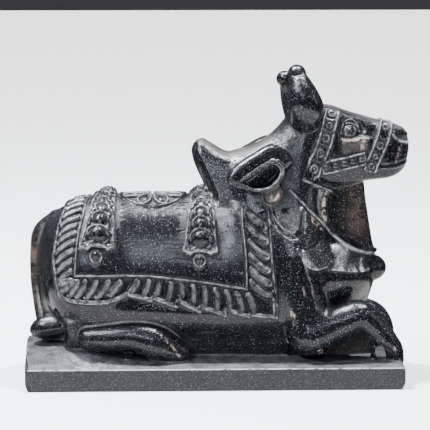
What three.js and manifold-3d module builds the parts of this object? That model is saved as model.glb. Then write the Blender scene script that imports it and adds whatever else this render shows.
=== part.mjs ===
// A couchant bull with a saddle cloth, bridle, bell straps and a stud necklace, carved with its low plinth
// from one block of black stone. Millimetres, +Z up, the head towards +X, the origin at the middle of the
// plinth's underside. The whole carving is one solid.
import * as THREE from 'three';
import { mergeVertices } from 'three/addons/utils/BufferGeometryUtils.js';
import Module from 'manifold-3d';

const wasm = await Module();
wasm.setup();

// The plinth.
const PLINTH_LENGTH = 300;
const PLINTH_DEPTH = 126;
const PLINTH_HEIGHT = 18;
const PLINTH_CORNER_RADIUS = 4; // of the upright corners
const PLINTH_WEAR_RADIUS = { tail: 3, head: 7 }; // the lower edges of the two ends are worn round
const PLINTH_TAIL_BULGE = 4; // the end under the tail is rounded in plan

// The figure, from the tail to the tip of the muzzle. Its forms are drawn on a figure 307 mm long, in
// coordinates whose heights start at the plinth's top edge, and K carries the drawing to the real size.
const FIGURE_LENGTH = 307;
const DRAWN_LENGTH = 307;
const K = FIGURE_LENGTH / DRAWN_LENGTH;

// How far the carved layers stand out.
const CLOTH_LIFT = 2.6;
const STRAP_LIFT = 5.8;
const BRIDLE_LIFT = 1.6;
const LEAF_LIFT = 2.2;
const FRAME_LIFT = 0.8;
const ROSETTE_RADIUS = 28;
const ROSETTE_LIFT = 1; // above the cloth
const PETALS = 8;
const PETAL = { inner: 0.16, outer: 0.94, width: 0.62 }; // shares of the rosette's radius
const PETAL_LIFT = 3;
const CORD_RADIUS = 1.6;

// How finely the forms are cut into faces.
const TORSO_SIDES = 18;
const HEAD_SIDES = 12;
const LIMB_SIDES = 8;
const CAP_REACH = 0.85; // how far a limb's end stands past its last station, as a share of its radius
const REACH = 200; // farther than any point of the figure is from its middle plane

const BACK_TO_FRONT = 0; // column of the table that a form's stations are ordered by
const SECTION_POWER = 2.2; // how square the torso's cross-section is; 2 is an ellipse
const HEAD_POWER = 2.7;

// Torso stations: along, back, height of the widest line, belly, half width.
const TORSO = [
  [-143.5, 88, 72, 56, 6],
  [-139, 104, 71, 38, 20],
  [-131, 116, 70, 20, 33],
  [-120, 122.5, 68, 6, 42],
  [-103, 127, 66, -4, 46.7],
  [-80, 128.5, 64, -4, 46.7],
  [-50, 129, 62, -4, 46],
  [-15, 129, 62, -4, 45.5],
  [20, 131, 62, -4, 45.5],
  [48, 132, 62, -2, 43],
  [70, 122, 62, 4, 38],
  [90, 100, 62, 12, 31],
  [108, 86, 61, 22, 23],
  [122, 77, 61, 38, 14],
  [129, 70, 62, 52, 6],
];

// Head stations: along, crown, jaw, half width at the brow, half width at the jaw.
const HEAD = [
  [66, 190, 154, 15, 13],
  [84, 203.5, 140.5, 22, 19],
  [95, 203, 137.5, 23, 18.5],
  [108, 198.5, 139, 22.5, 16],
  [120, 195, 142, 19.5, 13.5],
  [142, 188.5, 145, 15.5, 12.5],
  [150, 186, 149, 14.5, 12],
  [155.5, 182, 156, 11.5, 10],
  [157.5, 175, 165, 5, 5],
];

// The dewlap's front edge: height, along. At every height it runs from the neck to there as a tapered web.
const DEWLAP = [
  [40, 118],
  [60, 127],
  [78, 131],
  [92, 129.5],
  [111, 126],
  [127, 123.3],
  [143, 121.5],
  [150, 112],
];
const DEWLAP_ROOT = { along: 78, radius: 14 };
const DEWLAP_EDGE_RADIUS = 6;

// The neck and the hump, as oval sections: along and height at the back, the same at the front, half width.
const NECK = [
  [-6, 132, 112, 84, 41],
  [13, 165.5, 95, 119, 32],
  [34, 173, 88, 133, 27],
  [50, 182.5, 87, 146, 23.5],
  [57, 196, 92, 160, 19],
];
const HUMP = [
  [-12, 126, 26, 142, 25],
  [-13, 141, 21, 156, 20],
  [-16, 153, 15, 165, 16.5],
  [-17.8, 164, 7, 169.5, 12.5],
  [-16.5, 171.5, 0.5, 173, 8.5],
  [-12, 175.8, -5, 176, 3.5],
];

// Rounded limbs, as stations of along, across, height and radius. Across is positive on the far side.
const TAIL = [
  [-128, 0, 112, 7],
  [-139.5, 0, 101, 7.5],
  [-143.5, 1, 86, 6],
  [-144.5, 2, 62, 5],
  [-143.5, 0, 42, 3.8],
  [-141, -6, 27, 3.4],
];
const TAIL_TUFT = [
  [-143.5, -16, 23.5, 6.3],
  [-138, -17, 25.5, 9],
  [-127, -18, 27.5, 9],
  [-114, -22, 29, 7.5],
];
const HIND_SHANK = [
  [-101, 38, 21, 9.5],
  [-85, 40, 21, 11.2],
  [-66, 42, 20.5, 13.7],
  [-51, 42, 18.5, 14],
  [-38, 41, 12.5, 12],
  [-28.5, 41, 8, 8.5],
];
const UPPER_ARM = [
  [57, 26, 104, 17],
  [62, 29, 84, 20.5],
  [66, 31, 58, 20],
  [76, 34, 30, 17],
];
const NEAR_FORELEG = [
  [78, -36, 29, 16],
  [100, -38, 35, 13.5],
  [117, -38, 38, 12],
  [127, -38, 26.5, 10],
  [138, -38, 15, 9.3],
  [143.5, -38, 6, 8],
];
const FAR_FORELEG = [
  [78, 36, 24, 16],
  [104, 38, 26, 13],
  [124, 38, 26, 12],
  [135, 38, 20, 10.8],
  [140.5, 38, 11, 9.3],
  [141, 38, 4, 9],
];
const NEAR_HORN = [
  [74, -16, 193, 14],
  [73.5, -22, 204, 14],
  [70, -23, 217, 11.5],
  [66, -19, 228, 8.4],
  [64.5, -16, 231, 7.4],
];
const FAR_HORN = [
  [70, 17, 190, 14],
  [68, 22, 202, 12.5],
  [64, 22, 214, 9.5],
  [60, 19, 221, 7.4],
  [58, 16, 223, 6.8],
];
const EAR = [
  [52, 29, 160, 10.5],
  [39, 34, 156, 16.5],
  [25, 37, 151, 13.5],
  [14, 38.5, 147.5, 7],
];
const EAR_FLATNESS = 0.48;
const EAR_HOLLOW = { at: [37, 43.5, 150], radii: [13, 8, 7], tilt: 34 };

const HAUNCH = { at: [-100, 28, 68], radii: [39, 21.5, 42] };
const CHEST = { at: [96, 0, 54], radii: [30, 25, 30] };
// Rough stone left standing under the chest between the forelegs, seen from the side, and its half width.
const CHEST_WEB = { outline: [[60, -4], [60, 40], [112, 40], [126, 18], [131, -4]], half: 21 };

// How much the plinth's top rises between the legs: a place as a share of the way from the middle to the
// end, and the rise there. It falls to nothing near the long edges.
const MOUND_INSET = 1;
const MOUND_SINK = 0.2;
const MOUND = [
  [-1, 13],
  [-0.79, 15],
  [-0.48, 8.5],
  [0.27, 5.5],
  [0.64, 3],
  [1, 3],
];

// The saddle cloth seen from the side: its rear edge, hem and front edge, as along and height.
const CLOTH_REAR = [[-116, 150], [-120, 126], [-128, 99], [-130, 82], [-127, 60], [-124, 53]];
const CLOTH_HEM_BACK = [[-112, 50], [-95, 50], [-82, 52], [-77, 57]];
const CLOTH_HEM_FRONT = [[-72, 55], [-49, 50], [-13, 43.5], [14, 39.5], [50, 38]];
const CLOTH_FRONT = [[48, 61], [45, 100], [42, 150]];
const SCALLOPS = 4;
const SCALLOP_DROP = 2.4;
// The frame line that parts the plain field from the leaf border.
const FRAME_REAR = [[-112, 71], [-111, 89], [-105, 122], [-99, 140]];
const FRAME_BASE = [[-112, 71], [-70, 71], [-37, 69], [-5, 66], [24, 60]];
const FRAME_FRONT = [[24, 60], [22, 92], [19, 140]];
const FRAME_LINE_WIDTH = 2;
const LEAF_PITCH = 10.2;
const LEAF_WIDTH = 8;
const LEAF_DROP = 7; // how much lower the tips of the two upright borders' leaves are than their stalks
const LEAF_TOP = 124; // the upright borders' leaves stop below the turn of the back
const LEAF_LEAN = { rear: -11, front: 9 }; // how far a leaf of the hem runs along, at either end of the hem
const LEAF_MARGIN = { frame: 2, hem: 2.5 }; // from a leaf of the hem to the frame line and to the hem
const LEAF_SPAN = [0.08, 0.92]; // the share of the upright borders' breadth that their leaves cover
const FAR_LEAF_SPREAD = 1.8; // the side away from the viewer is carved more plainly, with fewer, wider leaves

// A bell strap hangs down each flank from the back: along at the top and at the bottom, heights of the beads.
const STRAPS = [
  { top: -86, bottom: -95, beads: [122.5, 116.5, 108.5, 98], ball: 83 },
  { top: -12, bottom: -12, beads: [122, 115, 106, 94.5], ball: 79 },
];
const STRAP_TOP_HALF_WIDTH = 7.5;
const STRAP_END_HALF_WIDTH = 13.5;
const BEAD_RADIUS = { first: 3.6, last: 7 };
const STRAP_BALL_RADIUS = 6.4;
const STRAP_TURN = 128; // height where a strap turns from the back to the flank and starts to widen
const STRAP_ABOVE = 32; // how far above its turn a strap's outline is carried, past the back
const STRAP_ROLL = { length: 30, rise: 2.6 }; // the roll across the back, and its rise above the strap
const STRAP_FOOT_DROP = 2; // from the lowest bead to the strap's end
const STRAP_RIM = { out: 2.5, height: 4.5 }; // the flared rim: how far it stands out, half its height

// The bridle seen from the side: each band's centre line, its width and the number of its square cells.
const BROW_BAND = { line: [[99, 206], [91, 181], [77, 152]], width: 10.5, cells: 5 };
const NOSE_BAND = { line: [[139.5, 193], [132, 169], [121, 146]], width: 10.5, cells: 4 };
const CELL_SHARE = 0.62; // a cell's half size in the band's width or in its own length
const CELL_LIFT = 2.2;
const CELL_SINK = 1;
const CHEEK_BAND = { line: [[82, 153], [122, 163]], width: 9.5, cells: 6 };

const NECKLACE = [[66, 130], [80, 116], [95, 100], [109, 90], [126, 85.5]];
// Pyramid studs under the necklace: along, height, half size.
const STUDS = [
  [74, 112, 11],
  [86, 86, 14],
  [106, 80, 9.5],
  [121, 77, 9],
];
const FRONT_STUD = { at: [131, 0, 69], radii: [10, 9, 9.5] };
// A crescent on each shoulder closes the necklace behind.
const COLLAR = [
  [44, 37, 124, 2.5],
  [47, 41, 109, 6],
  [56, 42, 99, 6],
  [68, 40, 95, 2.5],
];
const STUD_LIFT = 7;
const STUD_SINK = 3;

const EYE = { at: [108.5, 184], radius: 5.5, lift: 3, tilt: -10 };
const MOUTH = { from: [131, 155], to: [160, 157], gap: 1.6 };
const NOSTRIL = { at: [151, 178], radius: 3, lift: 1.6 };

const NEAR = -1;
const FAR = 1;
const SIDES = [NEAR, FAR];

// Reads a table of stations between its rows, with a smooth curve through them. The key column runs one way.
function stationReader(rows, key = BACK_TO_FRONT) {
  return (where) => {
    const last = rows.length - 1;
    let i = rows.findIndex((row) => row[key] > where) - 1;
    if (i < -1 || rows[last][key] <= where) i = last - 1;
    i = Math.max(0, i);
    const t = THREE.MathUtils.clamp((where - rows[i][key]) / (rows[i + 1][key] - rows[i][key]), 0, 1);
    return rows[i].map((value, column) => {
      const next = rows[i + 1][column];
      const slope = (a, b) => ((rows[b][column] - rows[a][column]) * (rows[i + 1][key] - rows[i][key]))
        / (rows[b][key] - rows[a][key]);
      const leave = slope(Math.max(i - 1, 0), i + 1);
      const arrive = slope(i, Math.min(i + 2, last));
      const t2 = t * t;
      const t3 = t2 * t;
      return value * (2 * t3 - 3 * t2 + 1) + leave * (t3 - 2 * t2 + t)
        + next * (3 * t2 - 2 * t3) + arrive * (t3 - t2);
    });
  };
}

const torsoAt = stationReader(TORSO);

// Evenly spaced values from one end to the other, no farther apart than a step.
function spaced(from, to, step) {
  const count = Math.ceil(Math.abs(to - from) / step);
  return Array.from({ length: count + 1 }, (_, i) => from + ((to - from) * i) / count);
}

// A closed solid from a geometry whose faces already close.
function solid(geometry) {
  const bare = new THREE.BufferGeometry().setAttribute('position', geometry.getAttribute('position'));
  if (geometry.index) bare.setIndex(geometry.index);
  const merged = mergeVertices(bare, 1e-4);
  return new wasm.Manifold(new wasm.Mesh({
    numProp: 3,
    vertProperties: new Float32Array(merged.attributes.position.array),
    triVerts: new Uint32Array(merged.index.array),
  }));
}

// The geometry of a solid.
function geometryOf(shape) {
  const mesh = shape.getMesh();
  return new THREE.BufferGeometry()
    .setAttribute('position', new THREE.BufferAttribute(mesh.vertProperties, 3))
    .setIndex(new THREE.BufferAttribute(mesh.triVerts, 1));
}

// All the solids joined, pair by pair.
function join(solids) {
  let row = solids;
  while (row.length > 1) {
    row = row.reduce((next, shape, i) => {
      if (i % 2) next.push(row[i - 1].add(shape));
      else if (i === row.length - 1) next.push(shape);
      return next;
    }, []);
  }
  return row[0];
}

// A closed solid through a row of rings that all have the same number of points.
function loft(rings) {
  const sides = rings[0].length;
  const middle = (ring) => ring.reduce((sum, p) => sum.add(p), new THREE.Vector3()).divideScalar(sides);
  const points = [...rings.flat(), middle(rings[0]), middle(rings[rings.length - 1])];
  const [first, last] = [points.length - 2, points.length - 1];
  const faces = [];
  for (let r = 0; r < rings.length; r += 1) {
    for (let s = 0; s < sides; s += 1) {
      const a = r * sides + s;
      const b = r * sides + ((s + 1) % sides);
      if (r === 0) faces.push(first, b, a);
      if (r === rings.length - 1) faces.push(last, a, b);
      else faces.push(a, b, b + sides, a, b + sides, a + sides);
    }
  }
  const made = new THREE.BufferGeometry().setFromPoints(points).setIndex(faces);
  const shape = solid(made);
  if (shape.volume() > 0) return shape;
  for (let i = 0; i < faces.length; i += 3) [faces[i + 1], faces[i + 2]] = [faces[i + 2], faces[i + 1]];
  return solid(made.setIndex(faces));
}

// A power of a cosine or sine that keeps its sign, which squares an ellipse's corners.
const squared = (value, power) => Math.sign(value) * Math.abs(value) ** (2 / power);

function torsoRing([along, back, widest, belly, half], lift) {
  return Array.from({ length: TORSO_SIDES }, (_, i) => {
    const angle = (2 * Math.PI * i) / TORSO_SIDES;
    const up = squared(Math.cos(angle), SECTION_POWER);
    return new THREE.Vector3(
      along,
      (half + lift) * squared(Math.sin(angle), SECTION_POWER),
      widest + up * (up > 0 ? back - widest + lift : widest - belly),
    );
  });
}

function torso(lift = 0) {
  return loft(TORSO.map((station) => torsoRing(station, lift)));
}

function headRing([along, crown, jaw, brow, cheek], lift) {
  return Array.from({ length: HEAD_SIDES }, (_, i) => {
    const angle = (2 * Math.PI * i) / HEAD_SIDES;
    const up = squared(Math.cos(angle), HEAD_POWER);
    const half = THREE.MathUtils.lerp(cheek, brow, (up + 1) / 2);
    return new THREE.Vector3(
      along,
      (half + lift) * squared(Math.sin(angle), HEAD_POWER),
      (crown + jaw) / 2 + up * ((crown - jaw) / 2 + lift),
    );
  });
}

function head(lift = 0) {
  return loft(HEAD.map((station) => headRing(station, lift)));
}

// The dewlap: at each height two circles and their common tangents.
function dewlap() {
  const rings = DEWLAP.map(([height, front]) => {
    const edge = front - DEWLAP_EDGE_RADIUS;
    const span = edge - DEWLAP_ROOT.along;
    const lean = Math.acos((DEWLAP_ROOT.radius - DEWLAP_EDGE_RADIUS) / span);
    const arc = (from, to, count, centre, radius) => spaced(from, to, (to - from) / count)
      .map((angle) => new THREE.Vector3(centre + radius * Math.cos(angle), radius * Math.sin(angle), height));
    return [
      ...arc(-lean, lean, 3, edge, DEWLAP_EDGE_RADIUS),
      ...arc(lean, 2 * Math.PI - lean, 4, DEWLAP_ROOT.along, DEWLAP_ROOT.radius),
    ];
  });
  return loft(rings);
}

// A rounded limb along a smooth path through stations of along, across, height and radius.
function limb(stations, { sides = LIMB_SIDES, perStation = 1, flat = 1 } = {}) {
  const path = new THREE.CatmullRomCurve3(
    stations.map(([x, y, z]) => new THREE.Vector3(x, y, z)), false, 'centripetal',
  );
  const spans = stations.length - 1;
  const radiusAt = stationReader(stations.map(([, , , radius], i) => [i, radius]));
  const ring = (t, radius, push) => {
    const tangent = path.getTangent(t);
    const level = new THREE.Vector3(0, 1, 0).cross(tangent).normalize();
    const side = tangent.clone().cross(level);
    const centre = path.getPoint(t).addScaledVector(tangent, push);
    return Array.from({ length: sides }, (_, i) => {
      const angle = (2 * Math.PI * i) / sides;
      return centre.clone()
        .addScaledVector(level, radius * Math.cos(angle))
        .addScaledVector(side, flat * radius * Math.sin(angle));
    });
  };
  const cap = (t, radius, way) => ring(t, radius * Math.sqrt(1 - CAP_REACH ** 2), way * radius * CAP_REACH);
  return loft([
    cap(0, stations[0][3], -1),
    ...spaced(0, spans, 1 / perStation).map((s) => ring(s / spans, radiusAt(s)[1], 0)),
    cap(1, stations[spans][3], 1),
  ]);
}

// A closed solid through oval sections.
function sectioned(stations, sides) {
  return loft(stations.map(([backX, backZ, frontX, frontZ, half]) => Array.from({ length: sides }, (_, i) => {
    const angle = (2 * Math.PI * i) / sides;
    const share = (1 - Math.cos(angle)) / 2;
    return new THREE.Vector3(
      THREE.MathUtils.lerp(backX, frontX, share),
      half * Math.sin(angle),
      THREE.MathUtils.lerp(backZ, frontZ, share),
    );
  })));
}

// The same limb on one side or the other.
const onSide = (stations, side) => stations.map(([x, y, z, radius]) => [x, side * y, z, radius]);

function ellipsoid(at, radii, tilt = 0, detail = [12, 8]) {
  const ball = new THREE.SphereGeometry(1, ...detail).scale(...radii)
    .rotateY(THREE.MathUtils.degToRad(-tilt)).translate(...at);
  return solid(ball);
}

// The solid below an outline seen from the side, from one side of the figure to the other.
function sideExtrusion(outline, from = -REACH, to = REACH) {
  const shape = new THREE.Shape(outline.map(([x, z]) => new THREE.Vector2(x, z)));
  return solid(new THREE.ExtrudeGeometry(shape, { depth: to - from, bevelEnabled: false })
    .rotateX(Math.PI / 2).translate(0, to, 0));
}

// A band's outline: its centre line moved half its width each way.
function bandOutline(line, halfWidths) {
  const offset = (way) => line.map(([x, z], i) => {
    const [x0, z0] = line[Math.max(i - 1, 0)];
    const [x1, z1] = line[Math.min(i + 1, line.length - 1)];
    const length = Math.hypot(x1 - x0, z1 - z0);
    const half = halfWidths[Math.min(i, halfWidths.length - 1)] * way;
    return [x + (half * (z0 - z1)) / length, z + (half * (x1 - x0)) / length];
  });
  return [...offset(1), ...offset(-1).reverse()];
}

// A point at a share of a line's length.
function pointOn(line, share) {
  const spans = line.slice(1).map(([x, z], i) => Math.hypot(x - line[i][0], z - line[i][1]));
  let left = share * spans.reduce((sum, span) => sum + span, 0);
  const i = spans.findIndex((span) => {
    if (left <= span) return true;
    left -= span;
    return false;
  });
  if (i < 0) return line[line.length - 1];
  const t = left / spans[i];
  return line[i].map((value, axis) => THREE.MathUtils.lerp(value, line[i + 1][axis], t));
}

const lengthOf = (line) => line.slice(1)
  .reduce((sum, [x, z], i) => sum + Math.hypot(x - line[i][0], z - line[i][1]), 0);

// Finds the skin of a solid from outside: the point there and the way it faces.
function prober(shape) {
  const mesh = new THREE.Mesh(geometryOf(shape), new THREE.MeshBasicMaterial());
  const caster = new THREE.Raycaster();
  return (from, way) => {
    caster.set(new THREE.Vector3(...from), new THREE.Vector3(...way));
    const [hit] = caster.intersectObject(mesh);
    return hit && { point: hit.point, normal: hit.face.normal.clone() };
  };
}

const fromSide = (probe, [x, z], side) => probe([x, side * REACH, z], [0, -side, 0]);

// A leaf of the border: a ridge from its stalk to its tip, half sunk in the skin.
function leaf(stalk, tip, normal, width, lift) {
  const middle = stalk.clone().lerp(tip, 0.5);
  const across = tip.clone().sub(stalk).cross(normal).setLength(width / 2);
  const corners = [
    stalk, middle.clone().add(across), tip, middle.clone().sub(across),
    middle.clone().addScaledVector(normal, lift), middle.clone().addScaledVector(normal, -lift),
  ];
  const faces = [0, 1, 4, 1, 2, 4, 2, 3, 4, 3, 0, 4, 1, 0, 5, 2, 1, 5, 3, 2, 5, 0, 3, 5];
  const made = new THREE.BufferGeometry().setFromPoints(corners);
  const shape = solid(made.setIndex(faces));
  return shape.volume() > 0 ? shape : solid(made.setIndex([...faces].reverse()));
}

// A leaf between two places of the skin seen from one side.
function leafBetween(probe, from, to, side, width, lift) {
  const [stalk, tip] = [from, to].map((place) => fromSide(probe, place, side));
  if (!stalk || !tip) return [];
  const facing = stalk.normal.clone().add(tip.normal).normalize();
  return [leaf(stalk.point, tip.point, facing, width, lift)];
}

// The plinth's slab: its plan, with rounded corners and a bulging end, cut to its outline from the side.
function slab() {
  const [x, y] = [PLINTH_LENGTH / 2, PLINTH_DEPTH / 2];
  const corner = PLINTH_CORNER_RADIUS;
  const quarterTurn = Math.PI / 2;
  const plan = new THREE.Shape();
  [[x, y], [-x, y], [-x, -y], [x, -y]].forEach(([cornerX, cornerY], quarter) => {
    plan.absarc(
      cornerX - Math.sign(cornerX) * corner, cornerY - Math.sign(cornerY) * corner, corner,
      quarter * quarterTurn, (quarter + 1) * quarterTurn,
    );
    if (quarter === 1) plan.quadraticCurveTo(-x - 2 * PLINTH_TAIL_BULGE, 0, -x, corner - y);
  });
  const { tail, head: front } = PLINTH_WEAR_RADIUS;
  const end = x + PLINTH_TAIL_BULGE;
  const side = new THREE.Shape()
    .moveTo(x, PLINTH_HEIGHT).lineTo(-end, PLINTH_HEIGHT)
    .absarc(tail - end, tail, tail, Math.PI, 3 * quarterTurn)
    .absarc(x - front, front, front, -quarterTurn, 0);
  const prism = solid(new THREE.ExtrudeGeometry(plan, {
    depth: PLINTH_HEIGHT, bevelEnabled: false, curveSegments: 2,
  }));
  return prism.intersect(sideExtrusion(side.getPoints(3).map(({ x: along, y: height }) => [along, height])));
}

// The rise of the plinth's top towards the figure. Its foot is sunk in the slab.
function mound() {
  const [end, half] = [PLINTH_LENGTH, PLINTH_DEPTH].map((size) => (size / 2 - MOUND_INSET) / K);
  const across = spaced(-1, 1, 0.4);
  const foot = -PLINTH_HEIGHT / 2;
  const rings = MOUND.map(([share, rise]) => [
    ...across.map((y) => new THREE.Vector3(share * end, y * half, rise * (1 - y * y) - MOUND_SINK)),
    new THREE.Vector3(share * end, half, foot),
    new THREE.Vector3(share * end, -half, foot),
  ]);
  return loft(rings);
}

function haunch(side, lift = 0) {
  const [x, y, z] = HAUNCH.at;
  return ellipsoid([x, side * y, z], HAUNCH.radii.map((radius) => radius + lift), 0, [12, 8]);
}

// The skin of the body and the haunches moved out by a lift.
const draped = (lift) => join([torso(lift), ...SIDES.map((side) => haunch(side, lift))]);

// The bull without its trappings.
function bareBull() {
  const paired = SIDES.flatMap((side) => [
    haunch(side),
    limb(onSide(HIND_SHANK, side)),
    limb(onSide(UPPER_ARM, side)),
    limb(onSide(EAR, side), { flat: EAR_FLATNESS }),
  ]);
  const hollows = SIDES.map((side) => ellipsoid(
    [EAR_HOLLOW.at[0], side * EAR_HOLLOW.at[1], EAR_HOLLOW.at[2]], EAR_HOLLOW.radii, EAR_HOLLOW.tilt, [8, 5],
  ));
  const mouth = sideExtrusion(bandOutline([MOUTH.from, MOUTH.to], [MOUTH.gap / 2]));
  const bull = join([
    torso(), head(), dewlap(),
    sectioned(NECK, 12),
    sectioned(HUMP, 10),
    sideExtrusion(CHEST_WEB.outline, -CHEST_WEB.half, CHEST_WEB.half),
    limb(TAIL, { sides: 6 }), limb(TAIL_TUFT),
    limb(NEAR_FORELEG), limb(FAR_FORELEG),
    limb(NEAR_HORN, { sides: 10 }), limb(FAR_HORN, { sides: 10 }),
    ellipsoid(CHEST.at, CHEST.radii, 0, [10, 7]),
    ...paired,
  ]);
  return bull.subtract(join([...hollows, mouth]));
}

// The cloth's lower edge in front of the haunch, in scallops.
function scallopedHem() {
  const across = 2;
  return Array.from({ length: SCALLOPS * across + 1 }, (_, i) => {
    const [x, z] = pointOn(CLOTH_HEM_FRONT, i / (SCALLOPS * across));
    return [x, z - SCALLOP_DROP * Math.sin((Math.PI * (i % across)) / across)];
  });
}

function cloth() {
  const outline = [...CLOTH_REAR, ...CLOTH_HEM_BACK, ...scallopedHem(), ...CLOTH_FRONT];
  const line = [...FRAME_REAR].reverse().concat(FRAME_BASE.slice(1), FRAME_FRONT.slice(1));
  const frame = bandOutline(line, [FRAME_LINE_WIDTH / 2]);
  return join([
    draped(CLOTH_LIFT).intersect(sideExtrusion(outline)),
    draped(CLOTH_LIFT + FRAME_LIFT).intersect(sideExtrusion(frame)),
  ]);
}

// The leaves of the cloth's border on one side.
function borderLeaves(probe, side) {
  const spread = side === FAR ? FAR_LEAF_SPREAD : 1;
  const [pitch, width] = [LEAF_PITCH * spread, LEAF_WIDTH * spread];
  const borders = [
    { inner: FRAME_REAR, outer: [...CLOTH_REAR].reverse() },
    { inner: FRAME_FRONT, outer: CLOTH_FRONT },
  ];
  const upright = borders.flatMap(({ inner, outer }) => {
    const count = Math.floor((LEAF_TOP - inner[0][1]) / pitch);
    const alongAt = (line, height) => stationReader(line, 1)(height)[0];
    return Array.from({ length: count }, (_, i) => {
      const height = inner[0][1] + (i + 0.7) * pitch;
      const low = height - LEAF_DROP;
      const [start, end] = [alongAt(inner, height), alongAt(outer, Math.max(low, outer[0][1]))];
      const [stalk, tip] = LEAF_SPAN.map((share) => THREE.MathUtils.lerp(start, end, share));
      return leafBetween(probe, [stalk, height], [tip, low], side, width, LEAF_LIFT);
    }).flat();
  });
  const hem = [...CLOTH_HEM_BACK, ...CLOTH_HEM_FRONT];
  const count = Math.floor(lengthOf(FRAME_BASE) / pitch);
  const hanging = Array.from({ length: count }, (_, i) => {
    const share = (i + 0.5) / count;
    const [x, z] = pointOn(FRAME_BASE, share);
    const lean = THREE.MathUtils.lerp(LEAF_LEAN.rear, LEAF_LEAN.front, share);
    const foot = stationReader(hem)(x + lean)[1];
    const [stalk, tip] = [[x, z - LEAF_MARGIN.frame], [x + lean, foot + LEAF_MARGIN.hem]];
    return leafBetween(probe, stalk, tip, side, width, LEAF_LIFT);
  }).flat();
  return [...upright, ...hanging];
}

// The rosette on the back: a low disc with eight petals.
function rosette(probe) {
  const [x] = pointOn([[STRAPS[0].top, 0], [STRAPS[1].top, 0]], 0.5);
  const disc = solid(new THREE.CylinderGeometry(ROSETTE_RADIUS, ROSETTE_RADIUS, REACH, 2 * PETALS)
    .rotateX(Math.PI / 2).translate(x, 0, torsoAt(x)[1]));
  const petals = Array.from({ length: PETALS }, (_, i) => {
    const angle = ((i + 0.5) * 2 * Math.PI) / PETALS;
    const at = (share) => {
      const radius = share * ROSETTE_RADIUS;
      return probe([x + radius * Math.cos(angle), radius * Math.sin(angle), REACH], [0, 0, -1]);
    };
    const middle = (PETAL.inner + PETAL.outer) / 2;
    const [stalk, tip] = [PETAL.inner, PETAL.outer].map((share) => at(share).point);
    return leaf(stalk, tip, at(middle).normal, PETAL.width * ROSETTE_RADIUS, PETAL_LIFT);
  });
  return [torso(CLOTH_LIFT + ROSETTE_LIFT).intersect(disc), ...petals];
}

// A strap over the back, with a column of beads that grow downwards, a flared end and a ball.
function strap({ top, bottom, beads, ball }, probe) {
  const foot = beads[beads.length - 1] - BEAD_RADIUS.last - STRAP_FOOT_DROP;
  const band = draped(STRAP_LIFT).intersect(sideExtrusion(bandOutline(
    [[top, STRAP_TURN + STRAP_ABOVE], [top, STRAP_TURN], [bottom, foot]],
    [STRAP_TOP_HALF_WIDTH, STRAP_TOP_HALF_WIDTH, STRAP_END_HALF_WIDTH],
  )));
  const alongAt = (height) => THREE.MathUtils.mapLinear(height, STRAP_TURN, foot, top, bottom);
  const drops = SIDES.flatMap((side) => [
    ...beads.map((height, i) => {
      const radius = THREE.MathUtils.mapLinear(i, 0, beads.length - 1, BEAD_RADIUS.first, BEAD_RADIUS.last);
      const { point } = fromSide(probe, [alongAt(height), height], side);
      return ellipsoid(point.addScaledVector(new THREE.Vector3(0, side, 0), STRAP_LIFT / 3).toArray(),
        [radius * 1.05, radius, radius * 0.85], 0, [6, 3]);
    }),
    ellipsoid(fromSide(probe, [bottom, foot], side).point.toArray(),
      [STRAP_END_HALF_WIDTH, STRAP_LIFT + STRAP_RIM.out, STRAP_RIM.height], 0, [8, 4]),
    ellipsoid(fromSide(probe, [bottom, ball], side).point.toArray(),
      [STRAP_BALL_RADIUS * 1.2, STRAP_BALL_RADIUS, STRAP_BALL_RADIUS * 0.9], 0, [6, 4]),
  ]);
  const rolled = solid(new THREE.CylinderGeometry(
    STRAP_TOP_HALF_WIDTH, STRAP_TOP_HALF_WIDTH, STRAP_ROLL.length, 10,
  ).translate(top, 0, torsoAt(top)[1] + STRAP_LIFT - STRAP_TOP_HALF_WIDTH + STRAP_ROLL.rise));
  return [band, rolled, ...drops];
}

// A bridle band round the head, with a row of small pyramids for its cells.
function bridleBand({ line, width, cells }, probe) {
  const band = head(BRIDLE_LIFT).intersect(sideExtrusion(bandOutline(line, [width / 2])));
  const size = Math.min(width, lengthOf(line) / cells) * CELL_SHARE;
  const studs = SIDES.flatMap((side) => {
    const count = side === FAR ? Math.ceil(cells / 2) : cells;
    return Array.from({ length: count }, (_, i) => {
      const place = fromSide(probe, pointOn(line, (i + 0.5) / count), side);
      return stud(place, size, BRIDLE_LIFT + CELL_LIFT, CELL_SINK);
    });
  });
  return [band, ...studs];
}

// A pyramid on the skin, its base sunk a little below it.
function stud({ point, normal }, size, lift, sunk) {
  const spike = new THREE.ConeGeometry(size, lift + sunk, 4, 1).translate(0, (lift - sunk) / 2, 0);
  const turn = new THREE.Quaternion().setFromUnitVectors(new THREE.Vector3(0, 1, 0), normal);
  return solid(spike.applyQuaternion(turn).translate(...point));
}

function necklace(probe) {
  const cords = SIDES.map((side) => {
    const points = NECKLACE.map((place) => fromSide(probe, place, side).point);
    const [frontX, frontZ] = NECKLACE[NECKLACE.length - 1];
    const front = probe([REACH, 0, frontZ], [-1, 0, 0]).point;
    front.x = Math.max(front.x, frontX);
    return limb([...points, front].map(({ x, y, z }) => [x, y, z, CORD_RADIUS]), { sides: 4 });
  });
  const studs = SIDES.flatMap((side) => STUDS.map(([x, z, size]) => (
    stud(fromSide(probe, [x, z], side), size, STUD_LIFT, STUD_SINK)
  )));
  const collars = SIDES.map((side) => limb(onSide(COLLAR, side), { sides: 5 }));
  return [...cords, ...studs, ...collars, ellipsoid(FRONT_STUD.at, FRONT_STUD.radii, 0, [8, 6])];
}

function faceDetails(probe) {
  return SIDES.flatMap((side) => [
    ellipsoid(fromSide(probe, EYE.at, side).point.toArray(),
      [EYE.radius, EYE.lift, EYE.radius * 0.8], EYE.tilt, [8, 4]),
    ellipsoid(fromSide(probe, NOSTRIL.at, side).point.toArray(),
      [NOSTRIL.radius, NOSTRIL.lift, NOSTRIL.radius], 0, [6, 3]),
  ]);
}

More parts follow.
